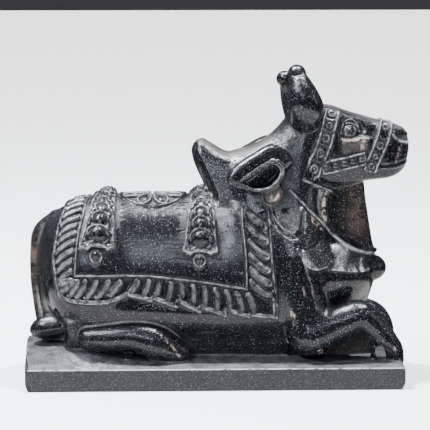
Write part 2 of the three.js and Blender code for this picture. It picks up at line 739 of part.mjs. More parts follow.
function figure() {
  const bull = bareBull();
  const bareSkin = prober(bull);
  const clothed = bull.add(cloth());
  const clothSkin = prober(clothed);
  return join([
    clothed,
    ...SIDES.flatMap((side) => borderLeaves(clothSkin, side)),
    ...rosette(clothSkin),
    ...STRAPS.flatMap((one) => strap(one, clothSkin)),
    ...[BROW_BAND, NOSE_BAND, CHEEK_BAND].flatMap((band) => bridleBand(band, bareSkin)),
    ...necklace(bareSkin),
    ...faceDetails(bareSkin),
    mound(),
  ]);
}

// The drawing at its real size, on the slab. What would hang below the slab's underside is cut away.
function carving() {
  const placed = figure().scale([K, K, K]).translate([0, 0, PLINTH_HEIGHT]);
  const below = new THREE.BoxGeometry(3 * REACH, 3 * REACH, REACH)
    .translate(0, 0, (PLINTH_HEIGHT - REACH) / 2);
  return placed.subtract(solid(below)).add(slab());
}

const stone = new THREE.MeshStandardMaterial({ color: 0x1b1d20, roughness: 0.25, metalness: 0 });
const bull = new THREE.Mesh(geometryOf(carving()), stone);
bull.name = 'nandi_bull';

const group = new THREE.Group();
group.add(bull);

export default group;
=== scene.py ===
import math
from collections import namedtuple
from itertools import product

import bpy
import numpy as np
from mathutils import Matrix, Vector


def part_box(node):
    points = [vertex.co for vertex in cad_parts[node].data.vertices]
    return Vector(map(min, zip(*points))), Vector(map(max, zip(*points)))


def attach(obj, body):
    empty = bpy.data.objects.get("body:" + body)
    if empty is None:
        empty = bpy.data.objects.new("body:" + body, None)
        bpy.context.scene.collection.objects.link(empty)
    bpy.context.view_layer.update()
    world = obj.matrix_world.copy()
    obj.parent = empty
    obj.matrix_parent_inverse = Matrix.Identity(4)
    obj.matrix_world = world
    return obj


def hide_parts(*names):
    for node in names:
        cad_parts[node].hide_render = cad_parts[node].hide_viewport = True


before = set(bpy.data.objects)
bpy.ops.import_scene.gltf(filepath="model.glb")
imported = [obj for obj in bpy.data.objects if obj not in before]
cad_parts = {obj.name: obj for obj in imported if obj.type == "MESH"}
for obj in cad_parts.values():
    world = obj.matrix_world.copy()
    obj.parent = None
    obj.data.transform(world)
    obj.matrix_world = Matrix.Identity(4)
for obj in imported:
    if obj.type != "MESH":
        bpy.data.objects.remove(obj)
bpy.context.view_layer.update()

# The drawing and how finely it is cut.
DRAWN_HEIGHT = 255.97
MILLIMETRE = (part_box("nandi_bull")[1][2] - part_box("nandi_bull")[0][2]) / DRAWN_HEIGHT
PLINTH = {"length": 300.0, "depth": 126.0, "height": 18.0, "bulge": 4.0}
# The edge of a cell, in millimetres.
CELL = 0.8
BLOCK = 4  # cells along the edge of a block, which is worked out as one
MAX_TRIANGLES = 196000
FAR_AWAY = 60.0  # the field's value away from every form
REACH = 9.0  # how far from its box a form still matters
NEAR, FAR, BOTH = -1, 1, 0
RANDOM = np.random.default_rng(7)


# Curves and tables.
def smooth_rows(rows, samples=8, key=None):
    """Rows of a table with a smooth curve through them, as more rows."""
    rows = np.asarray(rows, float)
    steps = np.arange(len(rows), dtype=float) if key is None else rows[:, key]
    out = []
    for i in range(len(rows) - 1):
        before, after = max(i - 1, 0), min(i + 2, len(rows) - 1)
        span = steps[i + 1] - steps[i]
        leave = (rows[i + 1] - rows[before]) * span / (steps[i + 1] - steps[before])
        arrive = (rows[after] - rows[i]) * span / (steps[after] - steps[i])
        t = np.arange(samples)[:, None] / samples
        out.append(rows[i] * (2 * t**3 - 3 * t**2 + 1) + leave * (t**3 - 2 * t**2 + t)
                   + rows[i + 1] * (3 * t**2 - 2 * t**3) + arrive * (t**3 - t**2))
    return np.vstack(out + [rows[-1:]])


def smooth_table(rows):
    """A function that reads the other columns of a table at a place in its first column."""
    dense = smooth_rows(rows, key=0)
    return lambda at: [np.interp(at, dense[:, 0], dense[:, c]) for c in range(1, dense.shape[1])]


def smooth_loop(points, samples=6):
    """A closed outline with a smooth curve through its points."""
    points = [tuple(p) for p in points]
    wrapped = [points[-1]] + points + points[:2]
    dense = smooth_rows(wrapped, samples)
    return dense[samples:-(samples + 1)]


# Fields.
def smooth_min(a, b, k):
    """The smaller of two fields, with a fillet where they meet."""
    if k <= 0:
        return np.minimum(a, b)
    h = np.maximum(k - np.abs(a - b), 0.0) / k
    return np.minimum(a, b) - h * h * k * 0.25


def smooth_max(a, b, k):
    return -smooth_min(-a, -b, k)


def between(value, low, high):
    t = np.clip((value - low) / (high - low), 0, 1)
    return t * t * (3 - 2 * t)


def as_distance(shape, x, y, z, step=0.4):
    """A shape's implicit function divided by its slope."""
    here = shape(x, y, z)
    slope = (shape(x + step, y, z) - here) ** 2
    slope += (shape(x, y + step, z) - here) ** 2
    slope += (shape(x, y, z + step) - here) ** 2
    return here / np.maximum(np.sqrt(slope) / step, 0.004)


class Sheet:
    """A function of two coordinates, kept on a grid and read between its points."""

    def __init__(self, low, high, step, function):
        self.low, self.step = np.array(low, float), step
        sizes = np.ceil((np.array(high) - low) / step).astype(int) + 1
        u = low[0] + np.arange(sizes[0])[:, None] * step + np.zeros((1, sizes[1]))
        v = low[1] + np.arange(sizes[1])[None, :] * step + np.zeros((sizes[0], 1))
        self.values = function(u, v)

    def at(self, u, v):
        rows, columns = self.values.shape
        i = np.clip((u - self.low[0]) / self.step, 0, rows - 1.001)
        j = np.clip((v - self.low[1]) / self.step, 0, columns - 1.001)
        i0, j0 = i.astype(int), j.astype(int)
        s, t = i - i0, j - j0
        grid = self.values.ravel()
        corner = i0 * columns + j0
        low = grid[corner] * (1 - t) + grid[corner + 1] * t
        high = grid[corner + columns] * (1 - t) + grid[corner + columns + 1] * t
        return low * (1 - s) + high * s


def path_distance(u, v, path):
    """The distance to a path, and how far along it the nearest point is."""
    best = np.full(u.shape, np.inf)
    along = np.zeros(u.shape)
    walked = 0.0
    for a, b in zip(path[:-1], path[1:]):
        du, dv = b[0] - a[0], b[1] - a[1]
        length = math.hypot(du, dv)
        if length < 1e-9:
            continue
        t = np.clip(((u - a[0]) * du + (v - a[1]) * dv) / length**2, 0, 1)
        gap = (u - a[0] - t * du) ** 2 + (v - a[1] - t * dv) ** 2
        closer = gap < best
        best = np.where(closer, gap, best)
        along = np.where(closer, walked + t * length, along)
        walked += length
    return np.sqrt(best), along


def outline_distance(u, v, outline):
    """The signed distance to a closed outline, negative inside."""
    closed = np.vstack([outline, outline[:1]])
    gap, _ = path_distance(u, v, closed)
    inside = np.zeros(u.shape, bool)
    for a, b in zip(closed[:-1], closed[1:]):
        if a[1] == b[1]:
            continue
        crosses = (a[1] > v) != (b[1] > v)
        inside ^= crosses & (u < (b[0] - a[0]) * (v - a[1]) / (b[1] - a[1]) + a[0])
    return np.where(inside, -gap, gap)


Form = namedtuple("Form", "low high side fillet field")


def form(low, high, side, fillet, field):
    return Form(np.array(low, float), np.array(high, float), side, fillet, field)


def ellipsoid(at, radii, side=BOTH, fillet=3.0, tilt=0.0):
    """An ellipsoid that tilts about the axis across the figure."""
    at, radii = np.array(at, float), np.array(radii, float)
    c, s = math.cos(math.radians(tilt)), math.sin(math.radians(tilt))

    def field(x, y, z):
        dx, dz = x - at[0], z - at[2]
        u, v, w = (c * dx + s * dz), y - at[1], (c * dz - s * dx)
        near = np.sqrt((u / radii[0]) ** 2 + (v / radii[1]) ** 2 + (w / radii[2]) ** 2)
        slope = np.sqrt((u / radii[0]**2) ** 2 + (v / radii[1]**2) ** 2 + (w / radii[2]**2) ** 2)
        return near * (near - 1) / np.maximum(slope, 1e-6)

    size = np.array([max(radii[0], radii[2]), radii[1], max(radii[0], radii[2])])
    return form(at - size, at + size, side, fillet, field)


def limb(stations, side=BOTH, fillet=3.0, flat=None, samples=5):
    """A rounded limb through stations of along, across, height and radius, flattened along a direction."""
    dense = smooth_rows(stations, samples)
    axis, share = (None, 1.0) if flat is None else (np.array(flat[0]) / np.linalg.norm(flat[0]), flat[1])

    def field(x, y, z):
        best = np.full(x.shape, FAR_AWAY)
        for a, b in zip(dense[:-1], dense[1:]):
            way = b[:3] - a[:3]
            length = max(way @ way, 1e-9)
            px, py, pz = x - a[0], y - a[1], z - a[2]
            t = np.clip((px * way[0] + py * way[1] + pz * way[2]) / length, 0, 1)
            radius = a[3] + (b[3] - a[3]) * t
            px, py, pz = px - t * way[0], py - t * way[1], pz - t * way[2]
            square = px * px + py * py + pz * pz
            if axis is None:
                best = np.minimum(best, np.sqrt(square) - radius)
                continue
            off = px * axis[0] + py * axis[1] + pz * axis[2]
            flatwise = np.maximum(square - off * off, 0)
            near = np.sqrt(flatwise + (off / share) ** 2)
            slope = np.sqrt(flatwise + (off / share**2) ** 2)
            best = np.minimum(best, near * (near - radius) / np.maximum(slope, 1e-6))
        return best

    reach = dense[:, 3:4]
    return form((dense[:, :3] - reach).min(0), (dense[:, :3] + reach).max(0), side, fillet, field)


def pillow(outline, half, rim, side=BOTH, fillet=3.0, middle=None):
    """A form with a drawn outline from the side, a half width at each place and rounded rims."""
    outline = np.asarray(outline, float)
    low, high = outline.min(0), outline.max(0)
    margin = REACH + 6
    sheet = Sheet(low - margin, high + margin, 0.8, lambda u, v: outline_distance(u, v, outline))
    middle = middle or (lambda x, z: 0.0)

    def shape(x, y, z):
        edge = np.maximum(1 + sheet.at(x, z) / rim, 0)
        return np.sqrt(((y - middle(x, z)) / half(x, z)) ** 2 + edge**2) - 1

    grid = np.meshgrid(np.linspace(low[0], high[0], 9), np.linspace(low[1], high[1], 9))
    centre = middle(*grid) + np.zeros_like(grid[0])
    width = half(*grid) + np.zeros_like(grid[0])
    return form([low[0], (centre - width).min(), low[1]], [high[0], (centre + width).max(), high[1]],
                side, fillet, lambda x, y, z: as_distance(shape, x, y, z))


class Chunk:
    """A group of points that lie together."""

    def __init__(self, points):
        self.x, self.y, self.z = points[:, 0], points[:, 1], points[:, 2]
        self.low, self.high = points.min(0), points.max(0)

    def across(self, side):
        """The points' places across the figure as one side or the other sees them."""
        return np.abs(self.y) if side == BOTH else side * self.y

    def meets(self, one):
        low, high = self.low.copy(), self.high.copy()
        if one.side == NEAR:
            low[1], high[1] = -self.high[1], -self.low[1]
        elif one.side == BOTH:
            far = max(abs(low[1]), abs(high[1]))
            near = 0.0 if low[1] < 0 < high[1] else min(abs(low[1]), abs(high[1]))
            low[1], high[1] = near, far
        return np.all(low < one.high + REACH) and np.all(high > one.low - REACH)


def joined(field, forms, chunk):
    for one in forms:
        if chunk.meets(one):
            near = one.field(chunk.x, chunk.across(one.side), chunk.z)
            field = smooth_min(field, near, one.fillet)
    return field


def carved(field, forms, chunk):
    for one in forms:
        if chunk.meets(one):
            near = one.field(chunk.x, chunk.across(one.side), chunk.z)
            field = smooth_max(field, -near, one.fillet)
    return field


# The body.
UPPER_POWER, LOWER_POWER = 2.5, 2.0  # how square the torso's section is, over and under its widest line
TORSO_MIDDLE, TORSO_REACH = -8.5, 137.5  # its middle along the figure, and from there to its ends
# Along, back, height of the widest line, belly, half width.
TORSO = smooth_table([
    [-146, 84, 70, 60, 3],
    [-143.5, 90, 69, 55, 8],
    [-139, 103, 66, 44, 20],
    [-131, 115.5, 62, 30, 33],
    [-120, 122.5, 58, 16, 42],
    [-103, 127, 54, 8, 46],
    [-80, 128.5, 48, 8, 46.3],
    [-50, 129, 45, 10, 45.8],
    [-15, 129, 43, 10, 45.5],
    [20, 131, 42, 10, 45.5],
    [48, 132, 42, 10, 43],
    [70, 122, 46, 12, 38],
    [90, 100, 52, 18, 31],
    [108, 86, 56, 26, 23],
    [122, 77, 61, 38, 14],
    [129, 70, 62, 52, 6],
])
# A middling section, which the relief's places over the flank are measured on.
WIDEST = 44.0
FLANK = {"tall": 85.0, "half": 45.7}


def torso_shape(x, y, z):
    back, widest, belly, half = TORSO(x)
    up = z - widest
    tall = np.where(up > 0, back - widest, widest - belly)
    power = np.where(up > 0, UPPER_POWER, LOWER_POWER)
    return (np.abs(y / half) ** power + np.abs(up / tall) ** power) ** (1 / power) - 1


def torso_field(x, y, z):
    ends = np.abs(x - TORSO_MIDDLE) - TORSO_REACH
    return smooth_max(as_distance(torso_shape, x, y, z), ends, 5.0)


TRUNK = [
    form([-146, -48, -4], [129, 48, 132], BOTH, 0.0, torso_field),
    ellipsoid([-99, 28, 69], [36.5, 21.5, 40], fillet=5.0),
]


def girth_curve():
    """Angle about the widest line, and distance over the skin from there, on a middling section."""
    angle = np.linspace(0, np.pi / 2, 181)
    up = np.sin(angle) ** (2 / UPPER_POWER) * FLANK["tall"]
    out = np.cos(angle) ** (2 / UPPER_POWER) * FLANK["half"]
    steps = np.r_[0, np.cumsum(np.hypot(np.diff(up), np.diff(out)))]
    return np.arctan2(up, out), steps, WIDEST + up


GIRTH_ANGLE, GIRTH_ARC, GIRTH_HEIGHT = girth_curve()
GIRTH_TOP = WIDEST + GIRTH_ARC[-1]


def girth(y, z):
    """The distance over the skin: the height below the widest line, and the arc above it."""
    turn = np.arctan2(np.maximum(z - WIDEST, 0), np.maximum(np.abs(y), 1e-6))
    return np.where(z < WIDEST, z, WIDEST + np.interp(turn, GIRTH_ANGLE, GIRTH_ARC))


NECK_OUTLINE = smooth_loop([
    [6, 126], [5, 140], [7, 156], [14, 166.3], [25, 169.6], [33, 172.3], [41, 177], [49.2, 184.3],
    [56.4, 192.4], [60.4, 199.5], [76, 205], [92, 190], [92, 165], [89, 146], [88, 130], [90, 112],
    [92, 96], [92, 80], [60, 78], [20, 84], [8, 104],
])
HUMP_OUTLINE = smooth_loop([
    [0, 120], [-5.5, 132], [-9.5, 142], [-14, 151.5], [-17.2, 160.5], [-18.3, 168.4], [-15.2, 174.9],
    [-9.6, 177.2], [-4.9, 175], [1.3, 171.2], [6.5, 168], [14, 165], [24, 158], [30, 140], [26, 120],
])
NECK_HALF = smooth_table([[70, 40], [100, 38], [120, 33], [140, 28], [155, 24], [170, 20.5], [185, 18],
                          [210, 16]])
HUMP_HALF = smooth_table([[120, 27], [135, 22.5], [150, 17.5], [163, 13.5], [170, 10.5], [180, 8]])
DEWLAP_OUTLINE = smooth_loop([
    [70, 40], [70, 90], [70, 130], [84, 150], [104, 152], [118, 148], [121.3, 142], [123, 128],
    [125.5, 112], [128.5, 94], [131, 84], [130, 70], [124, 55], [116, 44], [95, 36],
])
DEWLAP_HALF = smooth_table([[70, 20], [88, 14], [100, 10.5], [115, 8], [130, 6.5]])


HEAD_POWER = 3.6  # how square the head's cross-section is
HEAD_MIDDLE, HEAD_REACH = 111.7, 45.7  # its middle along the figure, and from there to its ends
# Along, crown, jaw, half width at the brow, half width at the jaw.
HEAD = smooth_table([
    [66, 188, 158, 14, 14],
    [75, 198, 147, 18, 18],
    [84, 203.5, 140.5, 21, 20.5],
    [95, 203, 137.5, 22, 21.5],
    [108, 198.5, 139, 21, 20],
    [120, 195, 142, 18.5, 17.5],
    [132, 191.5, 143.5, 16.5, 16],
    [142, 189, 145, 15.5, 15],
    [150, 186.5, 149, 14.5, 14],
    [155.5, 182.5, 156, 12, 11.5],
    [157.5, 177, 163, 8, 8],
])


def head_section(x, z):
    """How far up the head a place is, from -1 at the jaw to 1 at the crown, and half the width there."""
    crown, jaw, brow, cheek = HEAD(x)
    up = (z - (crown + jaw) / 2) / ((crown - jaw) / 2)
    return up, cheek + (brow - cheek) * np.clip((up + 1) / 2, 0, 1)


def head_shape(x, y, z):
    up, half = head_section(x, z)
    return (np.abs(y / half) ** HEAD_POWER + np.abs(up) ** HEAD_POWER) ** (1 / HEAD_POWER) - 1


def head_field(x, y, z):
    ends = np.abs(x - HEAD_MIDDLE) - HEAD_REACH
    return smooth_max(as_distance(head_shape, x, y, z), ends, 5.0)


EAR_OUTLINE = smooth_loop([
    [62, 162], [55, 171], [45.5, 175.7], [37.7, 173.4], [31, 169.5], [21.4, 163.8], [12.5, 157],
    [8.3, 150.5], [9.5, 145.5], [14.5, 142.3], [21, 139.6], [28, 137.6], [36, 136.8], [44, 138.2],
    [50.5, 142.5], [54.5, 149], [57, 155],
])
EAR_HOLLOW = smooth_loop([
    [49, 158.5], [44.3, 159.3], [39, 156], [31, 150], [24.8, 145.2], [28, 141.8], [35, 140.8],
    [42.5, 142.6], [48, 147.4], [51, 153],
])
EAR_RIMS = [
    [[10.5, 146], [13.4, 144.4], [24.4, 150.8], [34.7, 157.5], [44.2, 163]], [[44.2, 163], [50, 162],
    [53.8, 157], [53, 149.5], [47.5, 142.3], [40, 138.9], [31, 139], [24, 141],
     [15, 143]],
]


def ear_middle(x, z):
    return 30 + (62 - x) * 0.17


def hollow_middle(x, z):
    return ear_middle(x, z) + 7.0


BODY = [
    pillow(NECK_OUTLINE, lambda x, z: NECK_HALF(z)[0], 24.0, fillet=5.0),
    pillow([[-122, -4], [-122, 37], [62, 37], [62, -4]], lambda x, z: 30.2 + 0.23 * z, 5.0, fillet=4.0),
    pillow(HUMP_OUTLINE, lambda x, z: HUMP_HALF(z)[0], 9.0, fillet=3.5),
    pillow(DEWLAP_OUTLINE, lambda x, z: DEWLAP_HALF(x)[0], 6.0, fillet=1.6),
    limb([[88, 16, 136, 3.0], [86, 18.5, 124, 3.6], [88.5, 18, 111, 2.6]], fillet=3.0),
    form([66, -23, 137], [158, 23, 204], BOTH, 1.6, head_field),
    ellipsoid([90, 0, 68], [40, 38, 33], fillet=4.0),
    limb([[57, 27, 104, 16], [62, 30, 84, 19.5], [66, 32, 58, 19], [74, 35, 32, 18]], fillet=6.0),
    limb([[-120, 0, 74, 20], [-125, 0, 52, 16.5], [-126, 0, 24, 15]], fillet=6.0),
    limb([[-101, 38, 21, 9.5], [-85, 40, 21.5, 11.4], [-66, 42, 22.5, 12.3], [-51, 42, 18.5, 14],
          [-38, 41, 12.5, 12], [-28.5, 41, 8, 8.5]], fillet=2.0),
    limb([[-70.5, 42, 14, 3.2], [-70.5, 42, 0, 3.8]], fillet=1.5),
    limb([[-128, 0, 112, 7], [-139.5, 0, 101, 7.5], [-143.5, 1, 86, 6], [-144.5, 2, 62, 5],
          [-143.5, 0, 42, 3.8], [-141, -6, 27, 3.4]], side=FAR, fillet=3.0),
    limb([[-143.5, -16, 23.5, 6.3], [-138, -17, 25.5, 9], [-127, -18, 27.5, 9], [-114, -22, 29, 7.5]],
         side=FAR, fillet=2.0),
    limb([[76, 36, 23, 19], [92, 37, 29, 15.6], [104, 38, 33.5, 13.8], [116, 38, 37, 13],
          [128, 38, 27, 10.6], [136, 38, 18, 9.6], [143.3, 38, 8, 7.2],
          [144, 38, 2, 7.4]], side=NEAR, fillet=2.0),
    limb([[127.2, 37, 18, 3.4], [127.2, 38, 9, 2.7], [127.2, 38, 0, 3.2]], side=NEAR, fillet=1.5),
    limb([[121, 38, 48.9, 1.0], [126.8, 38, 45.3, 1.2], [131.2, 38, 38.7, 1.2], [135.6, 38, 30.4, 1.2],
          [141.6, 38, 22.4, 1.2], [147.8, 38, 15, 1.1], [150, 38, 8, 1.0]], side=NEAR, fillet=1.2),
    limb([[78, 36, 24, 16], [104, 38, 26, 13], [122, 38, 27, 12], [134, 37, 23.5, 11.5],
          [141.3, 37, 14, 10], [142.5, 37, 4, 9]], side=FAR, fillet=3.0),
    limb([[72.6, 15, 196, 13.6], [72.6, 20, 203, 14.2], [70.2, 22.5, 212, 12.4], [67.6, 20.5, 221, 9.6],
          [66.2, 17.5, 226, 7.6]], side=NEAR, fillet=1.8),
    ellipsoid([65.4, 16.5, 230.4], [7.4, 7.4, 7.1], side=NEAR, fillet=0.9),
    limb([[71, 15, 193, 12.6], [67, 20, 203, 11.2], [63, 21.5, 211, 8.4], [60.2, 19, 218, 6.2]], side=FAR,
         fillet=2.0),
    ellipsoid([57.8, 17.5, 223.4], [6.8, 6.8, 6.6], side=FAR, fillet=0.9),
    pillow(EAR_OUTLINE, lambda x, z: 7.0 + 0 * x, 5.5, fillet=2.0, middle=ear_middle),
    ellipsoid([45.5, 33, 136], [8, 5, 9.5], fillet=2.0, tilt=-25.0),
    pillow([[60, -4], [60, 40], [112, 40], [126, 18], [131, -4]], lambda x, z: 21 + 0 * x, 3.0, fillet=1.0),
]
HOLLOWS = [
    pillow(EAR_HOLLOW, lambda x, z: 8.5 + 0 * x, 2.4, fillet=0.8, middle=hollow_middle),
    ellipsoid([65.2, 23.6, 230.5], [4.6, 1.6, 2.9], side=NEAR, fillet=0.6),
    ellipsoid([133, 44, 8], [5.4, 14, 6.4], side=NEAR, fillet=1.0),
]


# Relief on the trunk.
def dome(share):
    """A round section: full in the middle, and nothing at a share of one and past it."""
    return np.sqrt(np.clip(1 - share**2, 0, 1))


def bump(distance, half, height):
    """A rounded ridge along a line."""
    return height * dome(distance / half)


def raise_to(relief, mask, height):
    return np.where(mask, np.maximum(relief, height), relief)


def leaf_places(u, v, start, end, width, bend=0.0):
    """How far along a leaf each place is, how far across it, and how wide the leaf is there."""
    start, end = np.array(start), np.array(end)
    way = end - start
    length = np.hypot(*way)
    s = ((u - start[0]) * way[0] + (v - start[1]) * way[1]) / length**2
    t = ((v - start[1]) * way[0] - (u - start[0]) * way[1]) / length - bend * 4 * s * (1 - s)
    inside = np.clip(s, 0, 1)
    tip = np.sqrt(np.clip(1 - ((inside - 0.8) / 0.21) ** 2 * (inside > 0.8), 0.02, 1))
    half = width / 2 * np.minimum(1, 0.62 + 1.6 * inside) * tip
    return s, t / half, half


def leaf(relief, u, v, start, end, width, lift, bend=0.0, floor=0.0, lip=0.0):
    """A leaf from its stalk to its tip: a full lobe, with a thin line along one edge where it has a lip."""
    s, across, half = leaf_places(u, v, start, end, width, bend)
    ridge = floor + (lift - floor) * np.clip(1 - across**2, 0, 1) ** 0.7
    if lip:
        edge = np.abs(across - 0.62) * half
        ridge = ridge - 0.5 * np.exp(-(((across - 0.3) * half / 0.6) ** 2)) + bump(edge, 0.7, lip)
    mask = (s > 0) & (s < 1) & (np.abs(across) < 1)
    return raise_to(relief, mask, ridge)


# Places over the flank: along the figure, and over the skin up to the middle of the back.
CLOTH_REAR = np.array([[-115, 147], [-120.6, 140.2], [-124.2, 123.6], [-127.3, 111.2], [-129.7, 94.3],
                       [-130.5, 84.9], [-129.6, 78], [-128.1, 67.2], [-125.8, 56.7]])
CLOTH_HEM_BACK = np.array([[-122.2, 52.6], [-114.2, 50.2], [-100.3, 49], [-86.4, 49.6], [-76.5, 52.6]])
TILES = [(-70.4, 55.6, -51.1, 50.7), (-50, 52.6, -30.8, 45.6), (-29.5, 49.8, -12.4, 41.6),
         (-11.4, 45.6, 8, 38.4), (9, 43, 26.8, 37.4), (27.5, 39, 49.5, 36.5)]
CLOTH_FRONT = np.array([[49.5, 36.5], [47.8, 60.5], [45.4, 83.8], [44.1, 107.4], [41.6, 129.6]])
FRAME_REAR = np.array([[-101, 146], [-102.8, 138.4], [-105, 122], [-108, 107.3], [-110.3, 94.5],
                       [-111.4, 82.5], [-112, 69.3]])
FRAME_BASE = np.array([[-112, 68.9], [-92.2, 68.8], [-72.4, 70.3], [-52.6, 70.1], [-36.7, 68.5],
                       [-12.9, 66.1], [7, 62.7], [24.5, 60.2]])
FRAME_FRONT = np.array([[24.5, 60.2], [23.8, 82.7], [21.7, 106.5], [20.3, 130.6]])


def over_top(path, end):
    """A path with its last place carried on to the middle of the back."""
    return np.vstack([path, [end, GIRTH_TOP + 1]])


HEM = np.vstack([CLOTH_REAR[-1:], CLOTH_HEM_BACK, np.array(TILES).reshape(-1, 2)])
REAR_EDGE = over_top(CLOTH_REAR[::-1], -107)
FRONT_EDGE = over_top(CLOTH_FRONT, 40)
FRAME = np.vstack([over_top(FRAME_REAR[::-1], -99)[::-1], FRAME_BASE[1:], over_top(FRAME_FRONT, 18.5)[1:]])
CLOTH_OUTLINE = np.vstack([REAR_EDGE[::-1], HEM[1:], FRONT_EDGE])
CLOTH_LIFT = 2.8
BORDER = {"floor": 0.5, "leaf": 4.2, "edge": 3.2, "band": 3.4}
REAR_LEAVES = {"top": 148.0, "step": 7.4, "count": 11, "drop": (2.0, 7.5)}
HEM_LEAVES = [(-112.5, -126, 63), (-111, -124.5, 56), (-109, -118, 52), (-103.3, -112, 51),
              (-94.6, -104.5, 50), (-84.3, -96, 50.5), (-75.5, -86, 52)]
TILE_LEAVES = {"first": (-62, -68.5), "step": (8.7, 9.9), "count": 11}
FRONT_LEAVES = [131.5, 120, 109, 97.5, 87, 77, 67.5]


def reading(path, column, at, by):
    """One column of a path read at a value of another."""
    order = np.argsort(path[:, by])
    return float(np.interp(at, path[order, by], path[order, column]))


def leaf_lines(side):
    """Where the border's leaves start and end, how wide each is and how it bends."""
    lines = []
    skip = 2 if side == FAR else 1
    rear = over_top(FRAME_REAR[::-1], -99)
    for i in range(0, REAR_LEAVES["count"], skip):
        start = REAR_LEAVES["top"] - REAR_LEAVES["step"] * i
        drop = np.interp(i, [0, REAR_LEAVES["count"] - 1], REAR_LEAVES["drop"])
        inner = [reading(rear, 0, start, 1) - 2.2, start]
        outer = [reading(REAR_EDGE, 0, start - drop, 1) + 2.2, start - drop]
        lines.append((inner, outer, 6.3 * skip, -1.2))
    for inner, outer, low in HEM_LEAVES[::skip]:
        lines.append(([inner, 67.0], [outer, low + 3.2], 7.6 * skip, 0.4))
    for i in range(0, TILE_LEAVES["count"], skip):
        inner = TILE_LEAVES["first"][0] + TILE_LEAVES["step"][0] * i
        outer = TILE_LEAVES["first"][1] + TILE_LEAVES["step"][1] * i
        top = reading(FRAME_BASE, 1, inner, 0) - 2.2
        lines.append(([inner, top], [outer, tile_edge(outer) + 3.2], 7.8 * skip, 0.3))
    for i, start in enumerate(FRONT_LEAVES[::skip]):
        inner = [reading(over_top(FRAME_FRONT, 18.5), 0, start, 1) + 2.4, start]
        outer = [reading(FRONT_EDGE, 0, start - 13, 1) - 2.6, start - 13]
        lines.append((inner, outer, 8.6 * skip, -2.0))
    return lines


def tile_edge(u):
    """The height of the hem's lower edge."""
    return float(np.interp(u, HEM[:, 0], HEM[:, 1]))


def tile_lift(u, v):
    """The hem's tiles lap: each stands proud at its rear end."""
    lift = np.zeros(u.shape)
    for start, _, end, _ in TILES:
        share = (u - start) / (end - start)
        fade = between(v - np.interp(u, HEM[:, 0], HEM[:, 1]), 6.5, 2.5)
        lift = np.where((share >= 0) & (share < 1), 0.8 * (1 - share) * fade, lift)
    return lift


STRAPS = [
    {"top": -86.2, "bottom": -94.6, "beads": [143.5, 136, 127.5, 118.9, 109.3, 96.3], "rim": 88.6,
     "ball": 81.3},
    {"top": -10.5, "bottom": -12.6, "beads": [145, 134.5, 124.4, 114.9, 105.2, 94.8], "rim": 87.4,
     "ball": 80.8},
]
BEAD_HALF = [2.4, 2.7, 3.3, 4.2, 5.2, 6.9]
ROLL_HALF, ROLL_REACH = 8.2, 13.0


def strap_half(share):
    """Half a strap's width, at a share of the way down."""
    return 7.6 + 5.6 * share**1.2


def strap_middle(strap, share):
    return strap["top"] + (strap["bottom"] - strap["top"]) * share


def strap_band(relief, u, v, strap):
    """The strap's full band with its raised edges, and the roll where it crosses the back."""
    foot = strap["rim"]
    share = np.clip((GIRTH_TOP - v) / (GIRTH_TOP - foot), 0, 1.2)
    half = strap_half(share)
    across = (u - strap_middle(strap, share)) / half
    inside = (np.abs(across) < 1) & (v > foot - 1)
    base = CLOTH_LIFT + 1.6 + 1.8 * share + 1.6 * dome(across)
    relief = raise_to(relief, inside, base)
    rim = bump((np.abs(across) - 0.93) * half, 0.9, 0.9)
    relief = np.where(inside, relief + rim, relief)
    off = u - strap["top"]
    barrel = CLOTH_LIFT + 6.8 * dome(off / ROLL_HALF)
    barrel += 0.5 * np.cos(off * 2.1)
    return raise_to(relief, ((GIRTH_TOP - v) < ROLL_REACH) & (np.abs(off) < ROLL_HALF), barrel)


def strap_bead(relief, u, v, strap, i, side):
    """A bead in its sunk place under an arch, with a small leaf to either side on the near flank."""
    bead, wide = strap["beads"][i], BEAD_HALF[i]
    down = (GIRTH_TOP - bead) / (GIRTH_TOP - strap["rim"])
    place = strap_middle(strap, down)
    tall = min(5.4, 3.6 + 0.4 * i)
    high = CLOTH_LIFT + 2.4 + 1.8 * down
    near = np.hypot((u - place) / wide, (v - bead) / tall)
    relief = np.where((near < 1.3) & (v < bead + 2), np.minimum(relief, high), relief)
    relief = raise_to(relief, near < 1, high + wide * 0.72 * dome(near))
    arch = (np.hypot((u - place) / (wide + 1.3), (v - bead) / (tall + 1.3)) - 1) * (tall + 1.3)
    over = (v > bead - 1) & (np.abs(arch) < 1.0)
    relief = raise_to(relief, over, high + 1.2 + bump(arch, 1.0, 1.3))
    if side == FAR or i == 0:
        return relief
    width = strap_half(down)
    for way in (-1, 1):
        at = np.array([place + way * (wide + width) / 2, bead - 1.0])
        lean = np.array([way * 1.3, -4.2])
        relief = leaf(relief, u, v, at - lean, at + lean, (width - wide) * 0.8, high + 1.9,
                      floor=high - 1.2)
    return relief


def strap_foot(relief, u, v, strap):
    """The curled rim at the strap's end, and the ringed ball that hangs under it."""
    x = (u - strap["bottom"]) / 13.2
    wave = strap["rim"] + 2.6 * np.exp(-(x * 2.6) ** 2) - 1.4 * np.exp(-((np.abs(x) - 0.62) * 4) ** 2)
    lip = v - (wave + 1.2 * np.abs(x) ** 4)
    reach = np.abs(x) < 1.04
    relief = raise_to(relief, reach & (np.abs(lip) < 1.8), CLOTH_LIFT + 2.6 + bump(lip, 1.8, 2.6))
    near = np.hypot((u - strap["bottom"] + 0.8) / 5.8, (v - strap["ball"]) / 5.6)
    relief = raise_to(relief, near < 1, CLOTH_LIFT + 4.4 * np.clip(1 - near**2, 0, 1) ** 0.8)
    ring = bump((near - 0.84) * 5.7, 0.9, 1.0) - bump((near - 0.6) * 5.7, 0.7, 0.7)
    return np.where(near < 1, relief + (ring + bump(near * 5.7, 2.4, 1.0)), relief)


